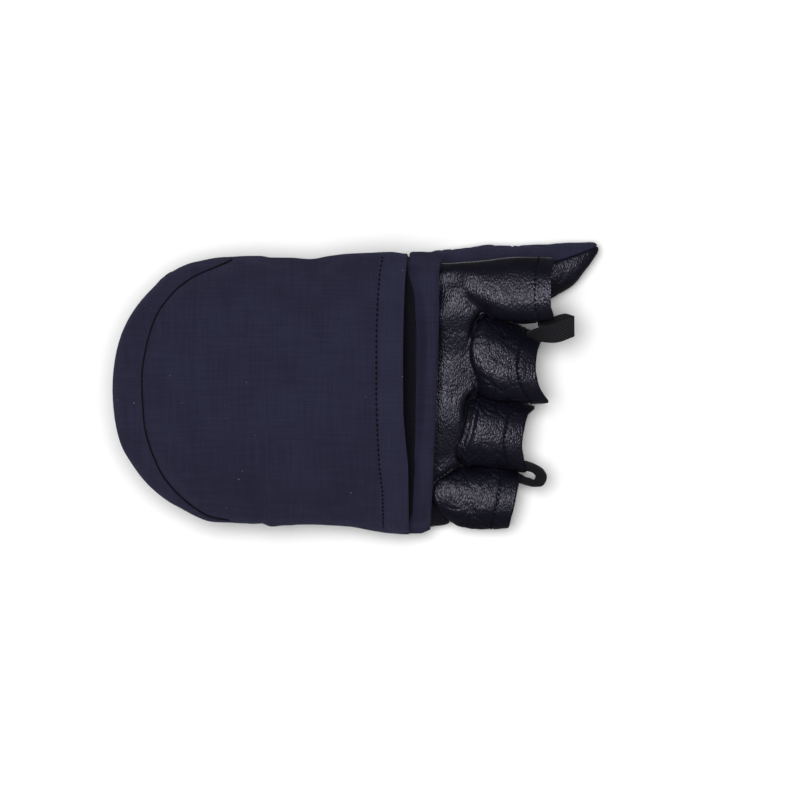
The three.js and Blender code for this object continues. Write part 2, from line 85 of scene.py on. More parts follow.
def noise(points, size, seed=0):
    # smooth noise from -1 to 1 with blobs of the given size
    places = points / size + 31.7 * (seed + 1)
    cell = np.floor(places).astype(np.int64)
    part = places - cell
    fade = part**3 * (part * (part * 6 - 15) + 10)
    total = np.zeros(len(points))
    for corner in range(8):
        step = np.array([corner & 1, corner >> 1 & 1, corner >> 2 & 1])
        key = cell + step
        mix = (key[:, 0] * 73856093) ^ (key[:, 1] * 19349663) ^ (key[:, 2] * 83492791)
        mix = ((mix & 0x7FFFFFFF) * 48271 + seed * 7919) & 0x7FFFFFFF
        mix = ((mix ^ (mix >> 15)) * 69621) & 0x7FFFFFFF
        mix = mix ^ (mix >> 13)
        total += (mix / 0x3FFFFFFF - 1) * np.prod(np.where(step, fade, 1 - fade), axis=1)
    return total


def waves(points, rows, seed=0):
    # noise summed from rows of amount, size and seed
    return sum(amount * noise(points, size, seed + own) for amount, size, own in rows)


def folds(points, direction, pitch, length, seed=0):
    # long soft creases: 1 in the middle of a crease, 0 between them
    along = np.array(direction, float) / np.linalg.norm(direction)
    run = points @ along
    rest = points - np.outer(run, along)
    sway = points + 1.2 * pitch * np.stack([noise(points, 3 * pitch, seed + k) for k in (5, 6, 7)], axis=1)
    rest = sway - np.outer(sway @ along, along)
    stretched = rest / pitch + np.outer(run / length, along)
    return np.clip(1 - 2.6 * np.abs(noise(stretched, 1.0, seed)), 0, 1) ** 2


def bell(distance, width):
    return np.exp(-((distance / width) ** 2))


def unit(rows):
    return rows / np.linalg.norm(rows, axis=-1, keepdims=True)


def lengthsAlong(line):
    return np.concatenate([[0], np.cumsum(np.linalg.norm(np.diff(line, axis=0), axis=1))])


def distanceTo(line, places, batch=4000):
    # shortest distance from places to a dense line, both with the same number of columns
    parts = [places[start:start + batch] for start in range(0, len(places), batch)]
    return np.concatenate([np.linalg.norm(part[:, None] - line[None], axis=2).min(axis=1) for part in parts])


def closest(points, place, count):
    # numbers and squared distances of the points nearest to a place
    gap = np.sum((points - place) ** 2, axis=1)
    near = np.argpartition(gap, count)[:count]
    return near, gap[near]


def treeOf(points):
    tree = KDTree(len(points))
    for i, point in enumerate(points):
        tree.insert(point, i)
    tree.balance()
    return tree


def dense(points, count):
    # a smooth line of evenly spaced points through a few
    points = np.array(points, float)
    runs = lengthsAlong(points)
    at = np.linspace(0, runs[-1], count)
    return np.stack([smoothCurve(np.stack([runs, values], axis=1))(at) for values in points.T], axis=1)


# ---- mesh helpers

def makePiece(name, verts, faces, *materials):
    mesh = bpy.data.meshes.new(name)
    mesh.from_pydata((np.asarray(verts, float) * 0.001).tolist(), [], faces)
    mesh.polygons.foreach_set("use_smooth", [True] * len(mesh.polygons))
    mesh.update()
    piece = bpy.data.objects.new(name, mesh)
    bpy.context.scene.collection.objects.link(piece)
    for stuff in materials:
        mesh.materials.append(stuff)
    return piece


def gridFaces(rings, sides, closedAlong=False):
    faces = []
    for r in range(rings if closedAlong else rings - 1):
        nextRing = (r + 1) % rings
        for i in range(sides):
            j = (i + 1) % sides
            faces.append((r * sides + i, r * sides + j, nextRing * sides + j, nextRing * sides + i))
    return faces


def endFaces(rings, sides):
    return [tuple(range(sides))[::-1], tuple(range((rings - 1) * sides, rings * sides))]


def halved(faces):
    # two triangles for each face of four corners
    faces = np.array(faces)
    return np.concatenate([faces[:, [0, 1, 2]], faces[:, [0, 2, 3]]])


def closedLoft(name, rings):
    # rings run along +X and turn from +Y over +Z; both ends are closed
    rings = np.asarray(rings, float)
    count, sides = rings.shape[:2]
    return makePiece(name, rings.reshape(-1, 3), gridFaces(count, sides) + endFaces(count, sides))


def onlyThis(piece):
    bpy.ops.object.select_all(action="DESELECT")
    piece.select_set(True)
    bpy.context.view_layer.objects.active = piece


def applied(piece, kind, **values):
    modifier = piece.modifiers.new(kind.title(), kind)
    for key, value in values.items():
        setattr(modifier, key, value)
    onlyThis(piece)
    bpy.ops.object.modifier_apply(modifier=modifier.name)
    return piece


def creased(piece, degrees):
    # smooth shading, apart from edges sharper than this
    onlyThis(piece)
    bpy.ops.object.shade_smooth_by_angle(angle=math.radians(degrees))
    return piece


def outward(piece):
    onlyThis(piece)
    bpy.ops.object.mode_set(mode="EDIT")
    bpy.ops.mesh.select_all(action="SELECT")
    bpy.ops.mesh.normals_make_consistent(inside=False)
    bpy.ops.object.mode_set(mode="OBJECT")
    return piece


def joined(name, pieces):
    bpy.ops.object.select_all(action="DESELECT")
    for piece in pieces:
        piece.select_set(True)
    bpy.context.view_layer.objects.active = pieces[0]
    bpy.ops.object.join()
    pieces[0].name = name
    return pieces[0]


def trianglesOf(piece):
    mesh = piece.data
    verts = np.zeros(len(mesh.vertices) * 3)
    mesh.vertices.foreach_get("co", verts)
    mesh.calc_loop_triangles()
    tris = np.zeros(len(mesh.loop_triangles) * 3, np.int64)
    mesh.loop_triangles.foreach_get("vertices", tris)
    return verts.reshape(-1, 3) * 1000, tris.reshape(-1, 3)


def normalsOf(verts, tris):
    a, b, c = verts[tris[:, 0]], verts[tris[:, 1]], verts[tris[:, 2]]
    face = np.cross(b - a, c - a)
    normals = np.zeros_like(verts)
    for k in range(3):
        np.add.at(normals, tris[:, k], face)
    return normals / np.maximum(np.linalg.norm(normals, axis=1, keepdims=True), 1e-9)


def discard(piece):
    bpy.data.objects.remove(piece, do_unlink=True)


def edgesOf(tris):
    return np.concatenate([tris[:, [0, 1]], tris[:, [1, 2]], tris[:, [2, 0]]])


def cut(verts, tris, field):
    # splits triangles where the field is zero; gives all verts, the kept (> 0) and the other triangles
    verts, field = verts.copy(), field.astype(float).copy()
    edges = np.unique(np.sort(edgesOf(tris), axis=1), axis=0)
    fa, fb = field[edges[:, 0]], field[edges[:, 1]]
    crossing = edges[fa * fb < 0]
    share = field[crossing[:, 0]] / (field[crossing[:, 0]] - field[crossing[:, 1]])
    for end, near in ((0, share < 0.2), (1, share > 0.8)):
        chosen, at = crossing[near], share[near]
        who, first = np.unique(chosen[:, end], return_index=True)
        ends = chosen[first]
        spot = verts[ends[:, 0]] * (1 - at[first])[:, None] + verts[ends[:, 1]] * at[first][:, None]
        free = field[who] != 0
        verts[who[free]] = spot[free]
        field[who[free]] = 0
    sign = np.sign(field)
    high, low = (sign[tris] > 0).any(axis=1), (sign[tris] < 0).any(axis=1)
    kept, other = [tris[high & ~low]], [tris[~high]]
    added, made, splitKept, splitOther = [], {}, [], []

    def crossed(a, b):
        key = (min(a, b), max(a, b))
        if key not in made:
            at = field[a] / (field[a] - field[b])
            made[key] = len(verts) + len(added)
            added.append(verts[a] * (1 - at) + verts[b] * at)
        return made[key]

    for tri in tris[high & low]:
        loop = []
        for k in range(3):
            a, b = int(tri[k]), int(tri[(k + 1) % 3])
            loop.append((a, sign[a]))
            if sign[a] * sign[b] < 0:
                loop.append((crossed(a, b), 0))
        for side, out in ((1, splitKept), (-1, splitOther)):
            part = [v for v, s in loop if s * side >= 0]
            out.extend((part[0], part[i], part[i + 1]) for i in range(1, len(part) - 1))
    if added:
        verts = np.concatenate([verts, np.array(added)])
    kept.append(np.array(splitKept, np.int64).reshape(-1, 3))
    other.append(np.array(splitOther, np.int64).reshape(-1, 3))
    return verts, np.concatenate(kept), np.concatenate(other)


def largestPart(tris, count):
    # only the biggest connected patch of triangles
    label = np.arange(count)
    while True:
        low = label[tris].min(axis=1)
        before = label.copy()
        for k in range(3):
            np.minimum.at(label, tris[:, k], low)
        label = label[label]
        if (label == before).all():
            break
    names, sizes = np.unique(label[tris[:, 0]], return_counts=True)
    return tris[label[tris[:, 0]] == names[sizes.argmax()]]


def used(verts, tris):
    kept, renamed = np.unique(tris, return_inverse=True)
    return verts[kept], renamed.reshape(-1, 3)


def rim(tris):
    # numbers of the vertices on open edges
    pairs, counts = np.unique(np.sort(edgesOf(tris), axis=1), axis=0, return_counts=True)
    return np.unique(pairs[counts == 1])


def shoulder(distance, width, depth):
    # how far a surface rolls inwards near a seam
    near = np.clip(1 - distance / width, 0, 1)
    return depth * (1 - np.sqrt(np.maximum(0, 1 - near**2)))


def walled(name, verts, tris, normals, wall, outside, inside):
    # a skin with thickness: its inner side follows the outer one along the normals
    inner = verts - normals * wall
    inner[:, 2] = np.maximum(inner[:, 2], 0.6)
    count = len(verts)
    directed = edgesOf(tris)
    keys = directed[:, 0] * count + directed[:, 1]
    opposite = directed[:, 1] * count + directed[:, 0]
    free = directed[~np.isin(keys, opposite)]
    faces = tris.tolist() + (tris[:, ::-1] + count).tolist()
    faces += [(b, a, a + count, b + count) for a, b in free.tolist()]
    piece = makePiece(name, np.concatenate([verts, inner]), faces, outside, inside)
    kinds = [0] * len(tris) + [1] * len(tris) + [0] * len(free)
    piece.data.polygons.foreach_set("material_index", kinds)
    return creased(piece, 60)


# ---- materials

class Stuff:
    # the nodes of one procedural material, laid over the object or over a map of its own
    def __init__(self, name, ownMap=None):
        self.material = bpy.data.materials.new(name)
        self.material.use_nodes = True
        self.nodes, self.links = self.material.node_tree.nodes, self.material.node_tree.links
        self.nodes.clear()
        out = self.add("OutputMaterial")
        self.shader = self.add("BsdfPrincipled")
        self.links.new(self.shader.outputs[0], out.inputs[0])
        if ownMap:
            self.place = self.add("UVMap", uv_map=ownMap).outputs[0]
        else:
            self.place = self.add("TexCoord").outputs["Object"]

    def add(self, kind, *sources, **values):
        # sources fill the first inputs; values are inputs or settings by name
        node = self.nodes.new("ShaderNode" + kind)
        for socket, source in zip(node.inputs, sources):
            if isinstance(source, (int, float, tuple)):
                socket.default_value = source
            else:
                self.links.new(source, socket)
        for key, value in values.items():
            if key in node.inputs:
                node.inputs[key].default_value = value
            else:
                setattr(node, key, value)
        return node

    def texture(self, kind, scale, source=None, **values):
        return self.add("Tex" + kind, self.place if source is None else source, Scale=scale, **values)

    def noise(self, scale, source=None, **values):
        return self.texture("Noise", scale, source, **values).outputs[0]

    def math(self, how, first, second):
        return self.add("Math", first, second, operation=how).outputs[0]

    def ramp(self, source, stops):
        node = self.add("ValToRGB", source)
        for element, (at, colour) in zip(node.color_ramp.elements, stops):
            element.position = at
            element.color = (*colour, 1)
        return node.outputs[0]

    def blend(self, share, first, second):
        node = self.add("Mix", share, data_type="RGBA")
        self.links.new(first, node.inputs[6])
        node.inputs[7].default_value = (*second, 1)
        return node.outputs[2]

    def bump(self, height, strength, distance, before=None, invert=False):
        node = self.add("Bump", Strength=strength, Distance=distance, invert=invert)
        self.links.new(height, node.inputs["Height"])
        if before is not None:
            self.links.new(before, node.inputs["Normal"])
        return node.outputs[0]

    def finish(self, colour, surface, values):
        self.links.new(colour, self.shader.inputs["Base Color"])
        if surface is not None:
            self.links.new(surface, self.shader.inputs["Normal"])
        for key, value in values.items():
            self.shader.inputs[key].default_value = value
        return self.material


black, white = (0, 0, 0), (1, 1, 1)
softshellLook = {
    "light": (0.0176, 0.0176, 0.0362), "dark": (0.0122, 0.0122, 0.0258), "lint": (0.22, 0.22, 0.24),
    "weave": 2600,
}


def softshellMaterial(name, look):
    stuff = Stuff(name)
    cloud = stuff.noise(60, Detail=6, Roughness=0.6)
    slubs = []
    for stretch in ((60, 1500, 60), (1500, 60, 60)):
        drawn = stuff.add("Mapping", stuff.place, Scale=stretch).outputs[0]
        slubs.append(stuff.noise(1, drawn, Detail=1))
    lines = stuff.math("MULTIPLY", stuff.math("ADD", *slubs), 0.5)
    mingled = stuff.math("ADD", stuff.math("MULTIPLY", lines, 0.6), stuff.math("MULTIPLY", cloud, 0.4))
    tone = stuff.ramp(mingled, [(0.40, look["dark"]), (0.60, look["light"])])
    # a few specks of lint
    fleck = stuff.texture("Voronoi", 230, Randomness=1).outputs["Distance"]
    speck = stuff.ramp(fleck, [(0.0, white), (0.07, black)])
    rarely = stuff.ramp(stuff.noise(45, Detail=1), [(0.53, black), (0.59, white)])
    colour = stuff.blend(stuff.math("MULTIPLY", speck, rarely), tone, look["lint"])
    weft, warp = [
        stuff.texture("Wave", look["weave"], bands_direction=way, Distortion=0.4).outputs[1] for way in "XY"
    ]
    fine = stuff.bump(stuff.math("ADD", stuff.math("ADD", weft, warp), lines), 0.3, 0.00015)
    surface = stuff.bump(stuff.noise(420, Detail=4), 0.35, 0.0003, fine)
    return stuff.finish(colour, surface, {
        "Roughness": 0.86, "Specular IOR Level": 0.28, "Specular Tint": (0.6, 0.6, 1, 1),
        "Sheen Weight": 0.05, "Sheen Roughness": 0.5, "Sheen Tint": (0.45, 0.45, 1, 1),
    })


leatherLook = {
    "light": (0.0062, 0.0058, 0.0125), "dark": (0.0030, 0.0030, 0.0068), "worn": (0.018, 0.017, 0.024),
    "smooth": 0.28, "rough": 0.42, "grain": 1150, "drawn": (1.65, 0.82, 1.1), "bend": 0.0007,
}


def leatherMaterial(name, look):
    stuff = Stuff(name)
    drawn = stuff.add("Mapping", stuff.place, Scale=look["drawn"]).outputs[0]
    bend = stuff.texture("Noise", 500, Detail=2).outputs[1]
    bent = stuff.add("VectorMath", bend, (look["bend"],) * 3, drawn, operation="MULTIPLY_ADD").outputs[0]
    pebble = stuff.texture("Voronoi", look["grain"], bent, feature="SMOOTH_F1", Smoothness=0.35)
    small = stuff.texture("Voronoi", look["grain"] * 2.3, bent, feature="F1")
    cloud = stuff.noise(75, Detail=5, Roughness=0.6)
    tone = stuff.ramp(cloud, [(0.32, look["dark"]), (0.7, look["light"])])
    worn = stuff.ramp(stuff.noise(38, Detail=8, Roughness=0.7), [(0.60, black), (0.80, (0.5, 0.5, 0.5))])
    gloss = stuff.add("MapRange", cloud, 0.3, 0.75, look["rough"], look["smooth"])
    stuff.links.new(gloss.outputs[0], stuff.shader.inputs["Roughness"])
    large = stuff.bump(pebble.outputs["Distance"], 0.9, 0.00021, invert=True)
    fine = stuff.bump(small.outputs["Distance"], 0.3, 0.0001, large, invert=True)
    surface = stuff.bump(stuff.noise(230, Detail=3, Roughness=0.5), 0.18, 0.0006, fine)
    return stuff.finish(stuff.blend(worn, tone, look["worn"]), surface, {
        "Specular IOR Level": 0.34, "Specular Tint": (0.84, 0.82, 1.0, 1),
    })


def plainMaterial(name, scale, stops, relief, roughness, specular, **values):
    # fleece, thread and paper: one noise that gives both tone and relief
    stuff = Stuff(name)
    fluff = stuff.noise(scale, **values)
    surface = stuff.bump(fluff, *relief) if relief else None
    return stuff.finish(stuff.ramp(fluff, stops), surface, {
        "Roughness": roughness, "Specular IOR Level": specular,
    })


tapeLook = {"light": (0.0210, 0.0210, 0.0270), "dark": (0.0020, 0.0020, 0.0032), "ribs": 6.2, "twill": 9}


def tapeMaterial(name, look):
    # twill lines run slantwise over the tape's own map
    stuff = Stuff(name, "weave")
    ribs = stuff.texture("Wave", look["ribs"], bands_direction="DIAGONAL", Distortion=1.2, Detail=2)
    ribs = ribs.outputs[1]
    cross = stuff.texture("Wave", look["twill"], bands_direction="X", Distortion=0.6, Detail=2).outputs[1]
    tone = stuff.ramp(ribs, [(0.2, look["dark"]), (0.85, look["light"])])
    surface = stuff.bump(stuff.math("ADD", ribs, cross), 0.7, 0.0003)
    return stuff.finish(tone, surface, {"Roughness": 0.8, "Specular IOR Level": 0.25})


hemLook = {**softshellLook, "light": (0.0200, 0.0200, 0.0405), "dark": (0.0150, 0.0150, 0.0310)}
bindingLook = {
    **softshellLook, "light": (0.0150, 0.0150, 0.0240), "dark": (0.0090, 0.0090, 0.0150), "weave": 1500,
}
# a much lighter leather for the index edge and the little stall's stitches: painted highlight on raised
# edges
paintedHighlightLook = {**leatherLook, "light": (0.13, 0.13, 0.14), "dark": (0.035, 0.035, 0.040)}
softshell = softshellMaterial("softshell_cloth", softshellLook)
hemCloth = softshellMaterial("hem_cloth", hemLook)
leather = leatherMaterial("pebbled_leather", leatherLook)
fleece = plainMaterial(
    "fleece_back", 900, [(0.3, (0.003, 0.003, 0.005)), (0.75, (0.006, 0.006, 0.010))],
    (0.8, 0.0006), 0.97, 0.1, Detail=5, Roughness=0.7,
)
tapeCloth = tapeMaterial("twill_tape", tapeLook)
bindingCloth = softshellMaterial("knit_binding", bindingLook)
# dark sewing thread; laid along the seams as a strand, its near-black colour is also painted shade
threadAndSeamShade = plainMaterial(
    "thread_and_seam_shade", 2500, [(0.35, (0.0008, 0.0008, 0.0014)), (0.7, (0.0024, 0.0024, 0.0040))],
    (0.5, 0.0001), 0.85, 0.15, Detail=2,
)
paintedHighlightLeather = leatherMaterial("leather_painted_highlight", paintedHighlightLook)
print("materials made")


def standsFor(piece, slot, *nodes):
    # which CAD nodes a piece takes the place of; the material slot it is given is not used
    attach(piece, "root")
    if nodes:
        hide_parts(*nodes)


# ---- stitches: one small thread bump, copied along lines

stitch = {"sides": 6, "rings": 5, "lowest": 1.6, "step": 0.4, "bend": 0.12}
hemStitches = (1.9, 1.2, 0.8, 0.25)  # pitch, length, width and how deep they sink


def stitchRow(name, line, normals, measures, slotName, stuff=threadAndSeamShade):
    # line and normals have one row for each dense point, in millimetres
    pitch, length, width, sink = measures
    runs = lengthsAlong(line)
    count = max(1, int(runs[-1] / pitch))
    shape, sides = [], stitch["sides"]
    for part in np.linspace(-1, 1, stitch["rings"]):
        girth = math.sqrt(max(0.05, 1 - abs(part) ** 2.5))
        turns = 2 * math.pi * np.arange(sides) / sides
        shape += [(part, girth * math.cos(turn), girth * math.sin(turn)) for turn in turns]
    long, wide, high = np.array(shape).T[:, :, None]
    faces = gridFaces(stitch["rings"], sides) + endFaces(stitch["rings"], sides)

    def at(rows, run):
        return np.array([np.interp(np.clip(run, 0, runs[-1]), runs, values) for values in rows.T])

    verts, allFaces = [], []
    for centre in (np.arange(count) + 0.5) * runs[-1] / count:
        spot = at(line, centre)
        if spot[2] < stitch["lowest"]:
            continue
        up = unit(at(normals, centre))
        along = at(line, centre + stitch["step"]) - at(line, centre - stitch["step"])
        along = unit(along - up * (along @ up))
        local = along * long * length / 2 + np.cross(up, along) * wide * width / 2
        local = local + up * (high * width / 2 - long**2 * stitch["bend"])
        allFaces += [tuple(v + len(verts) * len(shape) for v in f) for f in faces]
        verts.append(spot + up * (width * 0.5 - sink) + local)
    standsFor(makePiece(name, np.concatenate(verts), allFaces, stuff), slotName)


def laidAlong(name, line, radius, stuff, slotName, sides=8):
    # a thin round strand along dense points
    ahead = unit(np.gradient(line, axis=0))
    across = unit(np.cross(ahead, (0.0, 0.0, 1.0)))
    up = np.cross(across, ahead)
    turns = 2 * math.pi * np.arange(sides) / sides
    rings = [line + radius * (across * math.cos(t) + up * math.sin(t)) for t in turns]
    verts = np.stack(rings, axis=1).reshape(-1, 3)
    faces = gridFaces(len(line), sides) + endFaces(len(line), sides)
    standsFor(outward(makePiece(name, verts, faces, stuff)), slotName)


def softened(line, rounds):
    for _ in range(rounds):
        line[1:-1] = (line[:-2] + 2 * line[1:-1] + line[2:]) / 4
    return line


# ---- the glove's body: hand, index stall and thumb root in one skin

hand = {
    "sections": columns(("yMid", "halfWidth", "zThumb", "zLittle", "arch", "halfHeight"), [
        (-71, -1.5, 38.5, 18.0, 17.4, 0.0, 18.6),
        (-62, -1.5, 37.5, 18.0, 17.2, 0.0, 18.4),
        (-45, -1.0, 43.5, 19.0, 16.2, 0.4, 18.4),
        (-28, -0.8, 46.5, 21.5, 14.5, 0.8, 17.6),
        (-10, -0.8, 48.2, 25.0, 12.4, 1.2, 16.4),
        (10, -1.0, 49.2, 28.8, 10.2, 1.5, 14.9),
        (24, -1.9, 49.7, 31.0, 9.0, 1.5, 13.7),
        (28, -2.2, 49.7, 31.2, 8.8, 1.5, 13.3),
        (32, -2.1, 49.0, 31.3, 8.6, 1.5, 12.9),
        (38, -2.0, 47.8, 31.3, 8.5, 1.5, 12.2),
        (44, -2.0, 45.5, 31.0, 8.7, 1.5, 11.2),
        (47.5, -2.0, 42.5, 30.4, 9.4, 1.5, 8.8),
        (50, -2.0, 38.0, 29.6, 10.4, 1.5, 5.0),
    ]),
    "stations": np.r_[-71:44:48j, 44.6:50:10j], "across": 2.6, "up": 2.2,
    "wristEnd": -71, "cuffSeam": -64, "backSeam": 24,
}
thumb = {
    "sections": columns(("yMid", "halfWidth", "zMid", "halfHeight"), [
        (-44, 15.0, 14.0, 15.6, 12.6),
        (-20, 26.5, 17.5, 13.8, 14.2),
        (0, 34.5, 15.0, 11.2, 12.0),
        (14, 37.7, 13.0, 9.2, 10.0),
        (28, 38.7, 12.4, 8.2, 9.0),
        (46, 41.0, 12.1, 8.1, 8.9),
        (60, 42.3, 11.1, 8.0, 8.7),
        (72, 43.6, 10.2, 7.8, 8.3),
        (80, 46.0, 8.1, 7.6, 7.4),
        (85.5, 49.2, 5.2, 7.6, 5.8),
        (88.6, 51.3, 3.1, 7.6, 4.0),
        (90.3, 52.1, 1.2, 7.6, 1.8),
    ]),
    "root": np.linspace(-44, 23, 44), "stations": np.r_[19.2:78:84j, 78.4:90.3:34j],
    "across": 2.2, "up": 2.3, "lean": 0, "seam": 19, "wall": 1.4, "voxel": 0.8,
    "waves": [(0.35, 9, 14), (0.15, 4.5, 15)], "creases": ((0.25, 0.4, 1), 3.4, 9, 17), "creaseDepth": 0.45,
    "split": smoothCurve([(15, 40.9), (45, 43.4), (62, 45.2), (74, 47.5), (82, 50.1), (92, 53.9)]),
}
indexStall = {
    "sections": columns(("yMid", "halfWidth", "zMid", "halfHeight"), [
        (27, 38.5, 8.0, 30.0, 8.6),
        (40, 38.4, 8.4, 30.2, 9.2),
        (47.5, 37.95, 9.65, 30.2, 9.7),
        (50.9, 36.95, 11.05, 30.2, 10.1),
        (54.9, 36.45, 12.05, 30.3, 10.4),
        (61.6, 35.9, 12.9, 30.3, 10.7),
        (68, 35.95, 12.7, 30.3, 10.8),
        (73.4, 36.05, 11.7, 30.3, 10.6),
        (80, 36.0, 11.5, 30.3, 10.5),
    ]),
    "stations": np.linspace(27, 79, 40), "across": 2.4, "up": 2.4, "lean": 1.3, "from": 46,
    "hem": smoothCurve([(23.5, 73.6), (26.5, 73.1), (30.5, 72.1), (40, 72.0), (44, 72.3), (48.8, 73.5)]),
    "hemBand": 5.9,
}
knuckles = {
    # where the finger stalls are sewn on, as (y, x)
    "seam": [
        (-54, 40), (-51, 35.5), (-48.5, 33.1), (-44.8, 30.2), (-40.3, 28.3), (-37, 28.7), (-34.4, 30.2),
        (-32.6, 32.7), (-30.2, 36.0), (-28.2, 38.4), (-25.9, 36.8), (-22.6, 37.0), (-18.1, 38.7),
        (-12.2, 40.1), (-7.4, 40.9), (-4.4, 41.6), (-2.3, 44.0), (-0.4, 45.0), (3.0, 45.1), (6.7, 43.8),
        (11.5, 42.7), (14.1, 42.4), (18.5, 42.7), (24.4, 44.0), (27.2, 46.2), (28.8, 48.4), (34, 56),
    ],
    "roll": 1.2, "rollDepth": 1.2,
    "crease": [(37.2, 38.9), (41.5, 33.0), (46.4, 27.0)],
    "dents": [(34.5, 40.3, 5.0, 2.4), (34.5, -27.0, 5.0, 0.8), (27.5, 33.0, 5.5, 2.2)],
    # the leather dips behind the middle stall, as depth at y, and drops along a ledge
    "valley": smoothCurve([
        (-54, 0), (-20, 0), (-13, 0.1), (-6, 1.1), (0, 2.1), (6, 2.9), (12, 3.5), (16, 3.2), (20, 2.3),
        (24, 1.0), (28, 0.2), (32, 0), (54, 0),
    ]),
    "ledge": (29.4, 0.03, 2.3, 1.3),
    # the edge follows the stalls' roots: reach, reach for each mm of drop, most rise and drop, and lift
    "web": (0.8, 0.5, -1.6, 4.0, 0.4),
    "voxel": 1.0, "wall": 1.5, "zone": (22, 30), "loose": [(0.62, 12, 3), (0.2, 5, 4)],
    "drawn": ((0.45, -0.8, 0.1), 2.6, 10, 11), "drawnDepth": 0.28,
    "palmLines": ((0.2, 1, 0), 5, 26, 21), "palmDepth": 0.5, "palmWaves": [(0.3, 9, 8)],
    # threads and the bead: radius, lift, and the stretch of y or x where they run; the seam thread is partly
    # painted shade
    "threadAndSeamShade": 0.3, "threadAndShadeLift": 0.1, "threadAndShadeRun": (-48.8, 28.4),
    "secondRow": (-38.5, -29.6), "secondStitches": (1.5, 0.9, 0.3, 0.08),
    # the bead is drawn in light leather: a painted highlight along the raised edge
    "bead": 0.22, "beadRun": (31.4, 72.6, 90), "beadLift": (0, 0.05, 0.5),
}


stalls = {
    "middle": {
        "edges": columns(("up", "low"), [
            (40, 24.0, -1.0), (43, 25.5, -1.8), (47.5, 28.0, -3.4), (51, 27.0, -4.4), (55, 25.5, -5.0),
            (61.6, 23.2, -5.6), (66, 20.5, -5.7), (68.6, 18.9, -5.6), (72, 17.9, -5.4),
        ]),
        "height": columns(("zMid", "half"), [(40, 23.2, 12.2), (52, 22.5, 12.5), (72, 18.7, 12.2)]),
        "hem": smoothCurve([
            (-5.6, 70.9), (-2.2, 68.4), (1.9, 66.8), (7.8, 66.0), (14.1, 66.8), (18.9, 68.7),
        ]),
        "crush": (0.9, -0.55, 0.2), "ridge": 0.1, "lean": 1.9, "round": 2.15,
    },
    "ring": {
        "edges": columns(("up", "low"), [
            (34, -2.4, -28.0), (37, -1.8, -28.4), (41, -1.5, -28.9), (46, -2.2, -29.2), (53, -3.7, -29.8),
            (57, -4.5, -30.7), (60, -5.0, -31.3), (66, -6.9, -31.9),
        ]),
        "height": columns(("zMid", "half"), [(34, 18.4, 12.0), (48, 16.8, 12.3), (66, 13.0, 11.9)]),
        "hem": smoothCurve([
            (-30.4, 62.6), (-27, 61.6), (-21.5, 60.9), (-14.1, 62.0), (-9.3, 63.2), (-6.7, 66.0),
        ]),
        "crush": (0.6, -0.75, 0.2), "ridge": 0.75, "lean": -0.3, "round": 2.3,
    },
    "little": {
        "edges": columns(("up", "low"), [
            (25, -29.6, -47.6), (30, -29.0, -48.8), (34.2, -28.8, -49.6), (38.3, -28.6, -51.4),
            (45, -28.8, -52.5), (51.2, -29.2, -52.5), (56, -30.3, -51.9), (61, -31.7, -51.0),
        ]),
        "height": columns(("zMid", "half"), [(25, 10.9, 11.0), (42, 10.9, 11.3), (61, 10.4, 10.6)]),
        "hem": smoothCurve([(-52, 56.1), (-47.7, 57.2), (-42.9, 58.3), (-38.1, 59.2), (-31.8, 60.3)]),
        "crush": (0.7, -0.6, 0.2), "ridge": 0.1, "lean": 0, "round": 2.4,
    },
}
stallCut = {
    "sides": 168, "rings": 84, "wall": 1.4, "pinch": 0.55, "hemBand": 6.1,
    "length": 24.0, "shoulder": 3.0, "plump": 2.3, "baseSize": 0.88, "dive": 2.4,
    "tucked": (-0.13, -0.01, 5), "creases": (2.4, 9), "creaseDepth": 0.55,
    "waves": [(0.32, 8, 1), (0.14, 3.6, 2)], "ridgeWaves": [(0.3, 9, 9)],
}


def stallTop(x, y):
    # height of the stalls' roots over (x, y) places near the seam
    tops = []
    for stall in stalls.values():
        up, low = stall["edges"]["up"](x), stall["edges"]["low"](x)
        v = np.minimum(np.abs((y - (up + low) / 2) / ((up - low) / 2)), 0.98)
        arch = (1 - v ** stall["round"]) ** (1 / stall["round"])
        rise = stall["height"]["half"](x) * stallCut["baseSize"] * arch
        tops.append(np.where(v < 0.98, 0, -4) + stall["height"]["zMid"](x) + rise)
    return np.max(tops, axis=0)


def handMiddle(x, y):
    sizes = hand["sections"]
    across = np.clip((y - sizes["yMid"](x)) / sizes["halfWidth"](x), -1.1, 1.1)
    climb = (sizes["zThumb"](x) - sizes["zLittle"](x)) * (across + 1) * 0.5
    return sizes["zLittle"](x) + climb + sizes["arch"](x) * (1 - across**2)


def handRings(stations, sides, grown=0.0):
    turns = np.linspace(0, 2 * math.pi, sides, endpoint=False)
    sizes = hand["sections"]
    rings = []
    for x in stations:
        y = sizes["yMid"](x) + (sizes["halfWidth"](x) + grown) * rounded(np.cos(turns), hand["across"])
        rise = (sizes["halfHeight"](x) + grown) * rounded(np.sin(turns), hand["up"])
        rings.append(np.stack([np.full(sides, float(x)), y, handMiddle(x, y) + rise], axis=1))
    return np.array(rings)


def tubeRings(tube, stations, sides):
    turns = np.linspace(0, 2 * math.pi, sides, endpoint=False)
    sizes = tube["sections"]
    rings = []
    for x in stations:
        aside, rise = rounded(np.cos(turns), tube["across"]), rounded(np.sin(turns), tube["up"])
        leaned = tube["lean"] * aside * smoothstep(40, 52, x)
        y = sizes["yMid"](x) + sizes["halfWidth"](x) * aside
        z = sizes["zMid"](x) + sizes["halfHeight"](x) * rise - leaned
        rings.append(np.stack([np.full(sides, float(x)), y, z], axis=1))
    return np.array(rings)


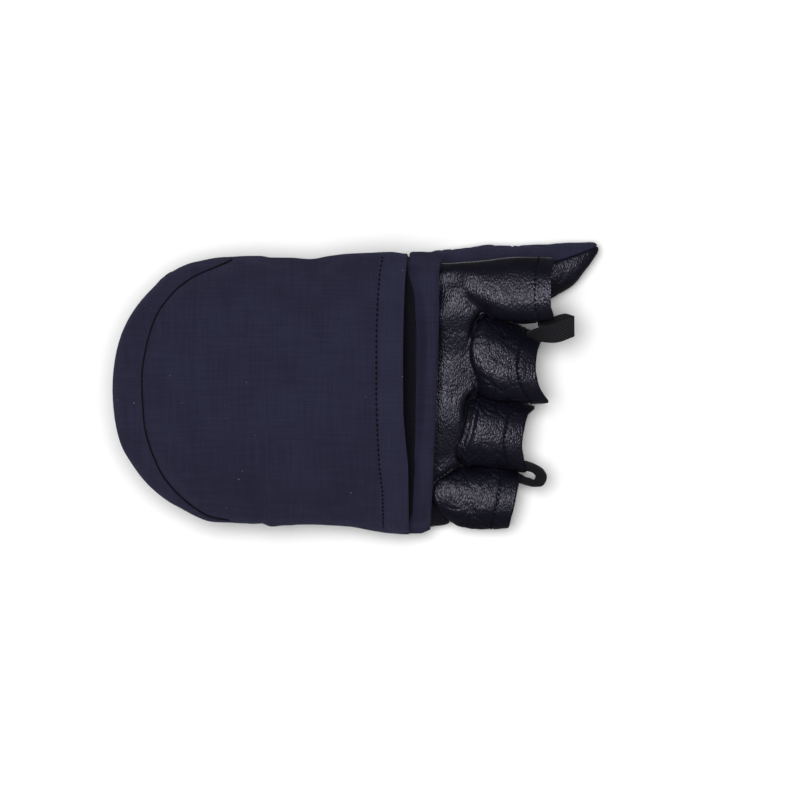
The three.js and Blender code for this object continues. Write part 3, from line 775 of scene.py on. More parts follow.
def tubeDistance(tube, points):
    # signed distance to a tube's skin, smaller than zero inside
    sizes = tube["sections"]
    exponent = (tube["across"] + tube["up"]) / 2
    x = points[:, 0]
    wide, high = sizes["halfWidth"](x), sizes["halfHeight"](x)
    reach = np.abs((points[:, 1] - sizes["yMid"](x)) / wide) ** exponent
    reach = (reach + np.abs((points[:, 2] - sizes["zMid"](x)) / high) ** exponent) ** (1 / exponent)
    return (reach - 1) * np.minimum(wide, high)


def onTable(points, softness=1.1):
    # the skin flattens where it rests
    z = points[:, 2]
    points[:, 2] = 0.5 * (z + np.sqrt(z * z + softness * softness)) - 0.02 * softness
    return points


seamLine = dense(knuckles["seam"], 420)[:, ::-1]  # (x, y) points
seamAt = smoothCurve(knuckles["seam"])


def acrossStalls(y):
    return np.clip(y, -52, 28.5)


def makeBody():
    handSkin = closedLoft("handSkin", handRings(hand["stations"], 110))
    indexSkin = closedLoft("indexSkin", tubeRings(indexStall, indexStall["stations"], 72))
    thumbRoot = closedLoft("thumbRoot", tubeRings(thumb, thumb["root"], 72))
    body = joined("gloveBody", [handSkin, indexSkin, thumbRoot])
    applied(body, "REMESH", mode="VOXEL", voxel_size=knuckles["voxel"] * 0.001)
    applied(body, "SMOOTH", factor=0.5, iterations=7)
    verts, tris = trianglesOf(body)
    discard(body)
    return onTable(verts), tris


def shapeKnuckles(verts, tris):
    normals = normalsOf(verts, tris)
    x, y, z = verts.T
    plan = verts[:, :2]
    onIndex = smoothstep(44, 50, x) * smoothstep(1.6, 0.4, tubeDistance(indexStall, verts))
    # the skin rolls down into the seam where the stalls are sewn on
    toSeam = distanceTo(seamLine, plan)
    above = z > handMiddle(x, y)
    down = shoulder(toSeam, knuckles["roll"], knuckles["rollDepth"]) * (1 - onIndex)
    # natural crease between the index and the hand, and a fold where the middle stall pushes
    toCrease = distanceTo(dense(knuckles["crease"], 60), plan)
    down = down + above * 0.45 * bell(toCrease, 1.2)
    # soft puckers
    leatherZone = smoothstep(*knuckles["zone"], x)
    loose = waves(verts, knuckles["loose"])
    for dentX, dentY, reach, deep in knuckles["dents"]:
        loose = loose - above * deep * bell(np.hypot(x - dentX, y - dentY), reach)
    ledgeX, lean, reach, deep = knuckles["ledge"]
    ledge = deep * bell(x - ledgeX - lean * np.minimum(y, 0), reach)
    down = down + above * leatherZone * (knuckles["valley"](y) + ledge)
    run = folds(verts, *knuckles["drawn"]) * smoothstep(7.5, 1.5, toSeam)
    down = down + leatherZone * (knuckles["drawnDepth"] * run - loose * 0.8)
    palm = smoothstep(2, -3, z - handMiddle(x, y)) * smoothstep(-62, -50, x)
    lines = knuckles["palmDepth"] * folds(verts, *knuckles["palmLines"])
    down = down + palm * (lines + waves(verts, knuckles["palmWaves"]))
    # stitched hem of the index stall
    hemGap = indexStall["hem"](y) - x
    down = down + 0.38 * bell(hemGap - indexStall["hemBand"], stallCut["pinch"]) * smoothstep(58, 60, x)
    down = down * smoothstep(0.2, 1.5, z)
    # beside the stalls the edge drops to the stall's root
    near, slope, rise, fall, lift = knuckles["web"]
    high = np.clip(z - down - stallTop(seamAt(acrossStalls(y)), y) - lift, rise, fall)
    drop = high * shoulder(toSeam, near + slope * np.abs(high), 1.0) * above * (1 - onIndex)
    verts = verts - normals * down[:, None]
    verts[:, 2] -= drop
    return verts


bodyVerts, bodyTris = makeBody()
bodyVerts = shapeKnuckles(bodyVerts, bodyTris)
print("glove body", len(bodyTris), "triangles")


def splitBody(verts, tris):
    # a row of the skin holds a place and its normal
    skin = np.hstack([verts, normalsOf(verts, tris)])
    # open ends: the cuff seam and the hem of the index stall
    field = np.minimum(skin[:, 0] - hand["cuffSeam"] + 0.8, indexStall["hem"](skin[:, 1]) - skin[:, 0])
    skin, tris, _ = cut(skin, tris, field)
    # finger stalls and the thumb leave through openings
    onIndex = np.minimum(1.0 - tubeDistance(indexStall, skin), skin[:, 0] - indexStall["from"])
    skin, tris, _ = cut(skin, tris, np.maximum(seamAt(skin[:, 1]) - skin[:, 0], onIndex))
    outsideThumb = np.maximum(tubeDistance(thumb, skin) - 0.45, thumb["seam"] - skin[:, 0])
    skin, tris, _ = cut(skin, tris, outsideThumb)
    tris = largestPart(tris, len(skin))
    # upper skin and palm
    tubeSide = np.minimum(skin[:, 0] - indexStall["from"] - 1, 2.5 - tubeDistance(indexStall, skin))
    upper = np.maximum(skin[:, 2] - handMiddle(skin[:, 0], skin[:, 1]), tubeSide)
    skin, upperTris, palmTris = cut(skin, tris, upper)
    palm = used(skin, largestPart(palmTris, len(skin)))
    skin, knuckleTris, backTris = cut(skin, upperTris, skin[:, 0] - hand["backSeam"])
    knuckle, back = [used(skin, largestPart(part, len(skin))) for part in (knuckleTris, backTris)]
    return {"knuckle": knuckle, "palm": palm, "back": back}


bodyParts = splitBody(bodyVerts, bodyTris)


def sewnEdge(skin, tris, width, depth):
    # a piece's open edges turn in where it is sewn to its neighbour
    near = distanceTo(skin[rim(tris), :3], skin[:, :3])
    turned = skin[:, :3] - skin[:, 3:] * shoulder(near, width, depth)[:, None]
    turned[:, 2] = np.maximum(turned[:, 2], 0.02)
    return turned


def finishBody():
    for part, name, cloth, node, slotName in (
        ("knuckle", "knuckle_skin", leather, "knuckle_leather", "leather"),
        ("palm", "palm_skin", leather, "palm_leather", "leather"),
        ("back", "back_cloth", softshell, "back_shell", "softshell"),
    ):
        skin, tris = bodyParts[part]
        verts = skin[:, :3] if part == "knuckle" else sewnEdge(skin, tris, 1.6, 0.8)
        standsFor(walled(name, verts, tris, skin[:, 3:], knuckles["wall"], cloth, fleece), slotName, node)


finishBody()


def between(line, limits):
    return line[(line[:, 1] > limits[0]) & (line[:, 1] < limits[1])]


def knuckleSeam():
    # dark thread down in the groove between the knuckles and the stalls: a real seam, and its near-black
    # strand is also painted shade for the groove
    skin, tris = bodyParts["knuckle"]
    edge = skin[rim(tris), :3]
    spots = []
    for place in between(seamLine, knuckles["threadAndShadeRun"]):
        near, _ = closest(edge[:, :2], place, 3)
        spots.append((*place, edge[near, 2].max() + knuckles["threadAndShadeLift"]))
    laidAlong("knuckle_seam_thread_and_shade", softened(np.array(spots), 6), knuckles["threadAndSeamShade"], threadAndSeamShade, "leather")


knuckleSeam()


def topOf(skin, places):
    # height and normal of the upper skin at (x, y) places, from its nearest vertices
    upper = skin[:, 5] > 0.05
    points, leans = skin[upper, :3], skin[upper, 3:6]
    heights, ups = [], []
    for place in places:
        near, gap = closest(points[:, :2], place, 6)
        weight = 1 / (gap + 0.05)
        heights.append(np.sum(points[near, 2] * weight) / weight.sum())
        ups.append((leans[near] * weight[:, None]).sum(axis=0) / weight.sum())
    return np.array(heights), np.array(ups)


def littleSeam():
    # a second row at the root of the little stall, in light leather colour that is a painted highlight on
    # the raised thread
    skin, _ = bodyParts["knuckle"]
    places = between(seamLine, knuckles["secondRow"]) - (0.75, 0.1)
    heights, ups = topOf(skin, places)
    line = np.column_stack([places, heights])
    stitchRow("little_seam_stitches", line, ups, knuckles["secondStitches"], "leather", paintedHighlightLeather)


def indexEdge():
    # the turned edge of the leather along the thumb side of the index stall, in light leather colour that is
    # a painted highlight on the raised edge
    skin, _ = bodyParts["knuckle"]
    spots = []
    for x in np.linspace(*knuckles["beadRun"]):
        near = skin[(np.abs(skin[:, 0] - x) < 0.9) & (skin[:, 1] > 30) & (skin[:, 2] > 26)]
        outer = near[near[:, 1].argmax()]
        spots.append((x, outer[1], outer[2]))
    line = softened(np.array(spots), 12) + knuckles["beadLift"]
    laidAlong("index_edge_bead", line, knuckles["bead"], paintedHighlightLeather, "leather")


littleSeam()
indexEdge()
print("knuckle leather, palm and back sewn")


# ---- wrist cuff: a bound edge round the wrist opening

cuff = {
    # how far the band stands off the hand, from its seam round the opening's edge to its inner side
    "profile": [
        (-63.6, -0.7), (-63.85, 0.15), (-64.6, 0.45), (-66.2, 0.57), (-68.4, 0.5), (-70.1, 0.35),
        (-70.8, -0.3), (-70.9, -0.9), (-70.6, -1.5), (-70.0, -1.9), (-67.5, -2.0), (-65, -1.9),
        (-63.8, -1.8),
    ],
    "sides": 220, "waves": [(0.25, 7, 2)],
}


def makeCuff():
    rings = [handRings([x], cuff["sides"], grown)[0] for x, grown in cuff["profile"]]
    verts = np.array(rings).reshape(-1, 3)
    verts = onTable(verts + waves(verts, cuff["waves"])[:, None] * np.array([0, 1, 1]))
    faces = gridFaces(len(rings), cuff["sides"], closedAlong=True)
    piece = outward(makePiece("wrist_binding", verts, faces, bindingCloth))
    applied(piece, "SUBSURF", levels=1, render_levels=1)
    standsFor(piece, "binding", "wrist_cuff")


makeCuff()
print("wrist cuff made")


# ---- finger stalls: puffed leather tubes with a folded, stitched hem

def stallPoint(stall, run, turns):
    # run 0 is the seam and 1 the hem; below 0 it dives under the knuckles
    v, s = rounded(np.cos(turns), stall["round"]), rounded(np.sin(turns), stall["round"])
    edges, height = stall["edges"], stall["height"]
    x = np.full(len(turns), 50.0)
    for _ in range(6):
        up, low = edges["up"](x), edges["low"](x)
        y = (up + low) / 2 + (up - low) / 2 * v
        seamX, hemX = seamAt(acrossStalls(y)), stall["hem"](y)
        x = seamX + (hemX - seamX) * max(run, 0)
    base, length, plump = stallCut["baseSize"], stallCut["length"], stallCut["plump"]
    t = np.clip(run * length / stallCut["shoulder"], 0, 1)
    swell = base + (1 - base) * (1 - (1 - t) ** plump) ** (1 / plump)
    across = 0.35 * swell + 0.65
    if run < 0:
        swell = base + stallCut["dive"] * run
        across = swell + 0.06
    x = x + min(run, 0) * length
    y = (up + low) / 2 + (up - low) / 2 * v * across
    z = height["zMid"](x) + height["half"](x) * s * swell - stall["lean"] * v * smoothstep(0, 0.3, run)
    return np.stack([x, y, z], axis=1)


def makeStall(key):
    stall, sides, count = stalls[key], stallCut["sides"], stallCut["rings"]
    turns = np.linspace(0, 2 * math.pi, sides, endpoint=False)
    runs = np.concatenate([np.linspace(*stallCut["tucked"]), np.linspace(0, 1, count) ** 0.92])
    outer = np.array([stallPoint(stall, run, turns) for run in runs]).reshape(-1, 3)
    tris = halved(gridFaces(len(runs), sides))
    normals = normalsOf(outer, tris)
    seed = len(key)
    x, y = outer[:, :2].T
    share = np.repeat(np.clip(runs, 0, 1), sides)
    toHem = stall["hem"](y) - x
    wrinkled = smoothstep(1.0, 0.55, share) * smoothstep(0.0, 0.08, share)
    up, low = stall["edges"]["up"](x), stall["edges"]["low"](x)
    side = np.abs((y - (up + low) / 2) / ((up - low) / 2))
    creases = folds(outer, stall["crush"], *stallCut["creases"], seed)
    creases = creases * (0.35 + 0.65 * smoothstep(0.25, 0.9, side))
    down = wrinkled * stallCut["creaseDepth"] * creases - waves(outer, stallCut["waves"], seed)
    band = stallCut["hemBand"]
    down = down - bell(share * 25 - 3.6, 1.2) * (stall["ridge"] + waves(outer, stallCut["ridgeWaves"], seed))
    down = down + 0.34 * bell(toHem - band, stallCut["pinch"])
    down = down - 0.12 * smoothstep(band, band - 1.2, toHem)
    outer = onTable(outer - normals * down[:, None])
    normals = normalsOf(outer, tris)
    # the hem is turned over to the inner side
    edge, out = outer[-sides:], normals[-sides:]
    ahead = unit(edge - outer[-2 * sides:-sides])
    half = stallCut["wall"] / 2
    rings = [outer]
    for turn in math.pi * np.arange(1, 6) / 6:
        rings.append(edge + half * (out * (math.cos(turn) - 1) + ahead * math.sin(turn)))
    inner = (outer - normals * half * 2).reshape(len(runs), sides, 3)[::-1]
    inner[:, :, 2] = np.maximum(inner[:, :, 2], 0.9)
    rings.append(inner.reshape(-1, 3))
    verts = np.concatenate(rings)
    faces = gridFaces(len(verts) // sides, sides, closedAlong=True)
    standsFor(makePiece(key + "_tube", verts, faces, leather), "leather", key + "_stall")
    # the hem's row of stitches
    rows = np.abs(toHem.reshape(len(runs), sides) - band).argmin(axis=0)
    picked = rows * sides + np.arange(sides)
    picked = np.append(picked, picked[0])
    stitchRow(key + "_hem_stitches", outer[picked], normals[picked], hemStitches, "leather")


for key in stalls:
    makeStall(key)
print("finger stalls made")


# ---- thumb: a closed tube of softshell and leather, lying flat on its side

def makeThumb():
    skin = closedLoft("thumbSkin", tubeRings(thumb, thumb["stations"], 120))
    applied(skin, "REMESH", mode="VOXEL", voxel_size=thumb["voxel"] * 0.001)
    applied(skin, "SMOOTH", factor=0.5, iterations=5)
    verts, tris = trianglesOf(skin)
    discard(skin)
    normals = normalsOf(verts, tris)
    creases = folds(verts, *thumb["creases"]) * smoothstep(84, 70, verts[:, 0])
    puff = waves(verts, thumb["waves"]) - thumb["creaseDepth"] * creases
    verts = onTable(verts + normals * puff[:, None])
    skin = np.hstack([verts, normalsOf(verts, tris)])
    skin, tris, _ = cut(skin, tris, skin[:, 0] - thumb["seam"] - 0.4)
    skin, clothTris, leatherTris = cut(skin, tris, skin[:, 1] - thumb["split"](skin[:, 0]))
    for name, part, stuff, node, slotName in (
        ("thumb_cloth", clothTris, hemCloth, "thumb_back", "softshell"),
        ("thumb_skin", leatherTris, leather, "thumb_leather", "leather"),
    ):
        points, faces = used(skin, part)
        turned = sewnEdge(points, faces, 1.3, 0.6)
        standsFor(walled(name, turned, faces, points[:, 3:], thumb["wall"], stuff, fleece), slotName, node)


makeThumb()
print("thumb made")


# ---- mitten cap, folded back over the hand

cap = {
    "tip": -48, "length": 42.5, "wall": 2.0, "wallShare": 0.36, "voxel": 4.0,
    "outline": columns(("thumbSide", "littleSide"), [
        (-48, 48.4, -49.2), (-39.4, 48.8, -49.6), (-35.7, 48.8, -49.4), (-32, 48.2, -50.7),
        (-24.6, 48.1, -50.1), (-17.2, 47.6, -50.0), (-9.8, 48.8, -50.3), (-2.4, 49.6, -50.8),
        (5, 49.9, -52.2), (12.4, 50.2, -53.3), (19.8, 49.4, -53.7), (28, 49.4, -53.2),
    ]),
    "tipOutline": columns(("thumbSide", "littleSide"), [
        (0, 0, 0), (0.369, 19.2, -20.2), (0.539, 27.0, -27.0), (0.744, 36.3, -36.3), (0.869, 42.7, -42.0),
        (0.914, 44.8, -44.0), (0.947, 46.2, -46.0), (0.972, 47.0, -47.7), (0.989, 47.8, -48.9),
        (1, 48.4, -49.2),
    ]),
    "edge": 5.4, "middle": 15.0, "atMouth": 14.0, "rim": 3.2, "rimRound": 2.2, "grown": 0.55, "shift": 0.2,
    "rings": (46, 70), "around": 240,
    "seam": [
        (-50.5, -44.0), (-49.2, -47.0), (-48.1, -53.3), (-41.4, -64.0), (-29.6, -73.4), (-11.5, -78.8),
        (4.1, -79.5), (12.6, -78.4), (25.9, -74.6), (35.2, -68.2), (41.4, -60.3), (46.6, -48.5),
        (49.5, -43.0),
    ],
    "hemSeam": 8.3, "lowerLip": 21.6,
    "hemEdge": smoothCurve([
        (-54, 19.4), (-30, 19.1), (-20, 18.2), (-8, 17.3), (12, 17.2), (36, 17.8), (52, 19.0),
    ]),
    "hemStitch": smoothCurve([
        (-54, 9.9), (-40, 9.6), (-27, 8.3), (0, 7.3), (20, 7.4), (40, 8.4), (50, 9.8),
    ]),
    # the seam's dark strand lies in the ditch and is partly painted shade
    "ditch": (1.0, 0.8), "shrink": 0.9, "seamSink": 0.35, "seamThreadAndShade": 0.28,
    "pressure": 4.0, "frames": 20, "mostMove": 1.7,
    "waves": [(0.30, 17, 31), (0.12, 7, 32)], "creases": ((0, 1, 0.2), 4.0, 15, 35), "creaseDepth": 0.35,
    # depth and width of the grooves along the stitches, and of the one along the seam
    "stitchGrooves": [(0.55, 0.8), (0.25, 2.6)], "seamGroove": (0.3, 3.0),
    "stitchRun": (-52.2, 48.8, 300), "stitches": (1.96, 1.42, 0.74, 0.28),
}


def capSpan(x):
    # the sides of the outline; round the tip they follow a table by share of a half circle
    share = np.sqrt(np.clip(1 - (np.minimum(x - cap["tip"], 0) / cap["length"]) ** 2, 0, 1))
    beyond = x < cap["tip"]
    return [np.where(beyond, cap["tipOutline"][side](share), cap["outline"][side](x))
            for side in ("thumbSide", "littleSide")]


def drape(x, y):
    # upper skin of the hand, widened to the cap's sides
    at = np.maximum(x, hand["wristEnd"])
    thumbSide, littleSide = capSpan(x)
    sizes = hand["sections"]
    reach = np.maximum(sizes["halfWidth"](at), (thumbSide - littleSide) / 2) + 3.4
    across = np.minimum(np.abs(y - (thumbSide + littleSide) / 2) / reach, 0.98)
    drop = np.maximum(0, 1 - across**3.0) ** (1 / hand["up"])
    return handMiddle(at, y) + sizes["halfHeight"](at) * drop + np.where(x < -60, 0.9, 0.5)


def capThick(x, y):
    thumbSide, littleSide = capSpan(x)
    middle, half = (thumbSide + littleSide) / 2, np.maximum((thumbSide - littleSide) / 2, 1)
    tip = smoothstep(cap["tip"] - cap["length"], cap["tip"] - 26, x)
    puff = mixed(cap["middle"], cap["atMouth"], smoothstep(-5, 18.6, x)) - cap["edge"]
    return cap["edge"] + puff * tip * np.maximum(0, 1 - np.abs((y - middle) / half) ** 2.4)


def capUnder(x, y):
    return drape(x, y) + 0.8 * smoothstep(0, 18.6, x)


def capRings(sides, tipCount, count, shrink=0.0):
    # rings run from the tip to the mouth; the last columns are above zero on the upper wall and zero at
    # the rim, and zero at the rim and one where the cap has its full thickness
    curl = np.radians(np.linspace(1.2, 90, tipCount))
    stations = [(cap["tip"] - cap["length"] * math.cos(t), math.sin(t)) for t in curl]
    stations += [(x, 1.0) for x in np.linspace(cap["tip"], 26, count)[1:]]
    turns = 2 * math.pi * np.arange(sides) / sides
    sign = np.sign(np.round(np.sin(turns), 9))
    rings = []
    for x, share in stations:
        thumbSide, littleSide = capSpan(x)
        middle, half = (thumbSide + littleSide) / 2, (thumbSide - littleSide) / 2 + cap["grown"] * share
        y = middle - cap["shift"] + half * np.cos(turns)
        inset = max(half, 10) * (1 - np.sqrt(1 - (share * np.sin(turns)) ** 2))
        full = (1 - (1 - np.minimum(inset / cap["rim"], 1)) ** cap["rimRound"]) ** (1 / cap["rimRound"])
        at = np.full(sides, float(x))
        z = capMiddle(at, y) + (capThick(at, y) / 2 - shrink) * full * sign
        rings.append(np.stack([at, y, z, np.sin(turns), full], axis=1))
    return np.array(rings)


capSeamLine = dense(cap["seam"], 360)[:, ::-1]
capSeamAt = smoothCurve(cap["seam"])


def capMiddle(x, y):
    return capUnder(x, y) + capThick(x, y) / 2


def simulateCap(bag):
    # pressure fills a coarse copy like padding, while its sewn lines stay where they are
    verts, _ = trianglesOf(bag)
    x, y, z = verts.T
    above = z > capMiddle(x, y)
    sewn = bell(distanceTo(capSeamLine, verts[:, :2]), 3.0)
    held = np.maximum(sewn, bell(x - cap["hemStitch"](y), 3.0)) * above
    held = np.maximum(held, smoothstep(13, 18, x))
    group = bag.vertex_groups.new(name="sewn")
    for i, weight in enumerate(held):
        if weight > 0.05:
            group.add([i], float(min(weight, 1)), "REPLACE")
    modifier = bag.modifiers.new("Cloth", "CLOTH")
    cloth = modifier.settings
    for key, value in {
        "quality": 5, "mass": 0.3, "use_pressure": True, "uniform_pressure_force": cap["pressure"],
        "tension_stiffness": 25, "compression_stiffness": 25, "bending_stiffness": 0.6,
        "shrink_min": -0.035, "vertex_group_mass": "sewn",
    }.items():
        setattr(cloth, key, value)
    cloth.effector_weights.gravity = 0
    modifier.collision_settings.use_collision = False
    for step in range(1, cap["frames"] + 1):
        bpy.context.scene.frame_set(step)
    onlyThis(bag)
    bpy.ops.object.modifier_apply(modifier=modifier.name)
    bpy.context.scene.frame_set(1)
    move = trianglesOf(bag)[0] - verts
    length = np.linalg.norm(move, axis=1, keepdims=True)
    print("cap filled, farthest move", round(float(length.max()), 2), "mm")
    return verts, move * np.minimum(1, cap["mostMove"] / np.maximum(length, 1e-6))


def spread(places, moves, points):
    # carries the moves of coarse places over to fine points
    tree = treeOf(places)
    result = np.zeros_like(points)
    for i, point in enumerate(points):
        _, numbers, gaps = zip(*tree.find_n(point, 9))
        weights = 1 / (np.array(gaps) ** 2 + 4)
        result[i] = weights @ moves[list(numbers)] / weights.sum()
    return result


def makeCap():
    rings = capRings(cap["around"], *cap["rings"])
    count, sides = rings.shape[:2]
    verts = rings.reshape(-1, 5)
    # the tip is closed by a fan round its middle
    tip = np.append(verts[:sides, :3].mean(axis=0), (0.0, 0.0))
    fan = [(len(verts), (i + 1) % sides, i) for i in range(sides)]
    tris = np.concatenate([halved(gridFaces(count, sides)), fan])
    verts = np.vstack([verts, tip])
    coarse = closedLoft("capCopy", capRings(96, 30, 40, cap["shrink"])[:, :, :3])
    applied(coarse, "REMESH", mode="VOXEL", voxel_size=cap["voxel"] * 0.001)
    places, moves = simulateCap(coarse)
    verts[:, :3] += spread(places, moves, verts[:, :3]) * (verts[:, 4:] ** 2)
    discard(coarse)
    return verts, tris


capVerts, capTris = makeCap()
print("cap bag", len(capTris), "triangles")


def wallRoom(verts, side):
    # distance from each vertex of the cap to its opposite wall
    room = np.zeros(len(verts))
    for here, there in ((side >= 0, side < -0.01), (side < 0, side > 0.01)):
        tree = treeOf(verts[there])
        room[here] = [tree.find(place)[2] for place in verts[here]]
    return room


def splitCap(rows, tris):
    verts, side, full = rows[:, :3], rows[:, 3], rows[:, 4]
    normals = normalsOf(verts, tris)
    x, y = verts[:, :2].T
    small = folds(verts, *cap["creases"]) * smoothstep(12, 2, np.abs(np.abs(y) - 50))
    stitchGap = x - cap["hemStitch"](y)
    groove = sum(depth * bell(stitchGap, width) for depth, width in cap["stitchGrooves"])
    depth, width = cap["seamGroove"]
    groove = groove + depth * bell(distanceTo(capSeamLine, verts[:, :2]), width)
    groove = groove * smoothstep(-0.15, 0.0, side)
    stir = (waves(verts, cap["waves"]) - cap["creaseDepth"] * small - groove) * full
    verts = verts + normals * stir[:, None]
    wall = np.clip(cap["wallShare"] * wallRoom(verts, side), 0.12, cap["wall"])
    skin = np.column_stack([verts, normalsOf(verts, tris), side, full, wall])
    # mouth
    lip = mixed(cap["lowerLip"], cap["hemEdge"](skin[:, 1]), smoothstep(-0.75, -0.4, skin[:, 6]))
    skin, tris, _ = cut(skin, tris, lip - skin[:, 0])
    # upper wall inside the seam, hem, and the rest
    inside = np.minimum((skin[:, 0] - capSeamAt(skin[:, 1])) * 0.02, skin[:, 6])
    skin, faceTris, backTris = cut(skin, tris, inside)
    skin, hemTris, faceTris = cut(skin, faceTris, skin[:, 0] - cap["hemSeam"])
    parts = {"face": faceTris, "back": backTris, "hem": hemTris}
    return {name: used(skin, largestPart(part, len(skin))) for name, part in parts.items()}


capParts = splitCap(capVerts, capTris)


def finishCap():
    for part, name in (("face", "cap_face_pad"), ("back", "cap_back_pad"), ("hem", "cap_hem_band")):
        skin, tris = capParts[part]
        verts, wall = skin[:, :3], skin[:, 8:]
        if part != "hem":
            ditch = distanceTo(capSeamLine, verts[:, :2]) + 50 * (skin[:, 6] < -0.05)
            sunk = shoulder(ditch, *cap["ditch"]) * skin[:, 7]
            verts = verts - skin[:, 3:6] * sunk[:, None]
        cloth = hemCloth if part == "hem" else softshell
        piece = walled(name, verts, tris, skin[:, 3:6], wall, cloth, fleece)
        standsFor(piece, "softshell", "cap_" + part)


finishCap()


def capStitches():
    ys = np.linspace(*cap["stitchRun"])
    places = np.stack([cap["hemStitch"](ys), ys], axis=1)
    heights, ups = topOf(capParts["hem"][0], places)
    line = np.column_stack([places, heights])
    stitchRow("cap_hem_stitches", line, ups, cap["stitches"], "softshell")


def capSeam():
    # the fine dark seam round the tip: a near-black strand in the ditch, a real seam and also painted shade
    skin, _ = capParts["face"]
    places = capSeamLine[10:-10]
    heights, _ = topOf(skin, places)
    line = softened(np.column_stack([places, heights - cap["seamSink"]]), 8)
    laidAlong("cap_seam_thread_and_shade", line, cap["seamThreadAndShade"], threadAndSeamShade, "softshell")


capStitches()
capSeam()
print("cap sewn")


# ---- fold: the roll of softshell that turns the back of the hand into the cap

fold = {
    "nose": smoothCurve([(-53, 27.6), (-30, 28.8), (0, 30.1), (30, 30.9), (50, 30.9)]),
    "back": smoothCurve([
        (-53, 19.4), (-23, 19.6), (-12, 20.9), (-4, 21.8), (2, 22.2), (14, 22.5), (21.5, 22.1),
        (32.6, 20.6), (38, 19.3), (50, 19.0),
    ]),
    "ends": (-52.6, 48.7), "rings": 260, "height": 5.4, "lip": (1.7, 4.6), "drop": 1.5,
    "pleat": 3.1, "pleatFrom": 19.4, "creases": ((1, 0.15, 0), 1.7, 9, 41), "creaseDepth": 0.12,
    "waves": [(0.22, 10, 42), (0.08, 4, 43)],
}


def makeFold():
    high, (deep, wide), (first, last) = fold["height"], fold["lip"], fold["ends"]
    radius = high / 2
    turns = np.radians(np.linspace(-90, 90, 15))
    rings = []
    for y in np.linspace(first, last, fold["rings"]):
        nose, back = float(fold["nose"](y)), float(fold["back"](y))
        ends = 1 - 0.55 * smoothstep(44, 49, y) - 0.55 * smoothstep(first + 5, first, y)
        droop = 4.2 * smoothstep(-43, first, y) + 2.6 * smoothstep(42, last, y)
        profile = [(nose - radius * (1 - 0.9 * math.cos(t)), radius * (1 + math.sin(t))) for t in turns]
        top = np.linspace(nose - radius, back + 1.6, 12)[1:]
        sunk = mixed(1.3, 2.2, smoothstep(44, 34, y) * smoothstep(-50, -38, y))
        slope = sunk * smoothstep(nose - 4, back, top) + deep * smoothstep(back + wide, back - 0.6, top)
        profile += list(zip(top, high - 0.2 - slope))
        foot = high - sunk - deep
        profile += [(back + 0.8, foot - 0.2), (back + 0.25, foot - 0.5), (back, foot - 0.8)]
        profile += [(back + 0.05, foot - 1.0), (back + 0.3, 0.3)]
        profile += [(x, 0.05) for x in np.linspace(back + 1, nose - radius, 8)[:-1]]
        x, z = np.array(profile).T
        lower = smoothstep(-45, first, y) * mixed(-0.2, fold["drop"], smoothstep(28.5, 23.5, x))
        rings.append(np.stack([x, y - lower, drape(np.minimum(x, 24), y) + 0.3 + z * ends - droop], axis=1))
    count, sides = len(rings), len(rings[0])
    verts = np.concatenate(rings)
    faces = gridFaces(count, sides)
    normals = normalsOf(verts, halved(faces))
    near = smoothstep(43.5, 48.5, verts[:, 1])
    pleats = 0.5 - 0.5 * np.cos(2 * math.pi * (verts[:, 0] - fold["pleatFrom"]) / fold["pleat"])
    puckers = mixed(fold["creaseDepth"] * folds(verts, *fold["creases"]), pleats, near)
    verts = verts + normals * (waves(verts, fold["waves"]) - 0.5 * puckers)[:, None]
    piece = makePiece("fold_roll", verts, faces + endFaces(count, sides), softshell)
    standsFor(creased(outward(piece), 60), "softshell", "cap_fold")


makeFold()
print("fold made")


# ---- pull loops of twill tape

tape = {"thick": 0.9, "steps": 110}
tapes = {
    # centre line, and the direction of the tape's width at each of its points
    "index_tape": {
        "node": "index_loop", "width": 8.0,
        "points": [
            (63.0, 19.7, 28.2), (66.5, 19.95, 28.8), (70.1, 20.15, 29.4), (72.7, 20.4, 29.8),
            (75.3, 21.0, 30.0), (77.7, 21.9, 29.9), (79.7, 22.7, 29.4), (80.5, 23.0, 28.5),
            (79.2, 23.6, 27.4), (77.2, 24.3, 27.0), (75.6, 24.3, 27.0), (74.0, 24.1, 27.1),
            (70.5, 24.0, 27.2), (67.0, 23.8, 27.4),
        ],
        "across": [
            (0, 0.22, 0.97), (0, 0.24, 0.97), (0, 0.29, 0.96), (0, 0.38, 0.92), (0, 0.54, 0.84),
            (0, 0.76, 0.65), (0, 0.95, 0.3), (0, 1, 0), (0, 0.95, -0.3), (0, 0.6, -0.8),
            (0, 0.3, -0.95), (0, 0.12, -1), (0, 0.1, -1), (0, 0.1, -1),
        ],
    },
    "little_tape": {
        "node": "little_loop", "width": 6.4,
        "points": [
            (54.5, -28.4, 19.6), (58, -28.4, 19.6), (61.5, -28.7, 19.6), (65, -29.6, 19.4),
            (67.6, -31.0, 19.0), (68.7, -32.9, 18.0), (67.4, -35.2, 16.4), (64.2, -34.9, 13.8),
            (61.5, -33.9, 11.0), (58, -33.2, 9.0), (55, -33.0, 8.4),
        ],
        "across": [
            (0, 0.3, 0.95), (0, 0.33, 0.94), (0.05, 0.37, 0.93), (0.15, 0.5, 0.85), (0.4, 0.42, 0.8),
            (0.6, 0.1, 0.79), (0.3, -0.52, 0.8), (0, -0.42, 0.9), (0, -0.2, 0.98),
            (0, -0.1, 1), (0, -0.05, 1),
        ],
    },
}


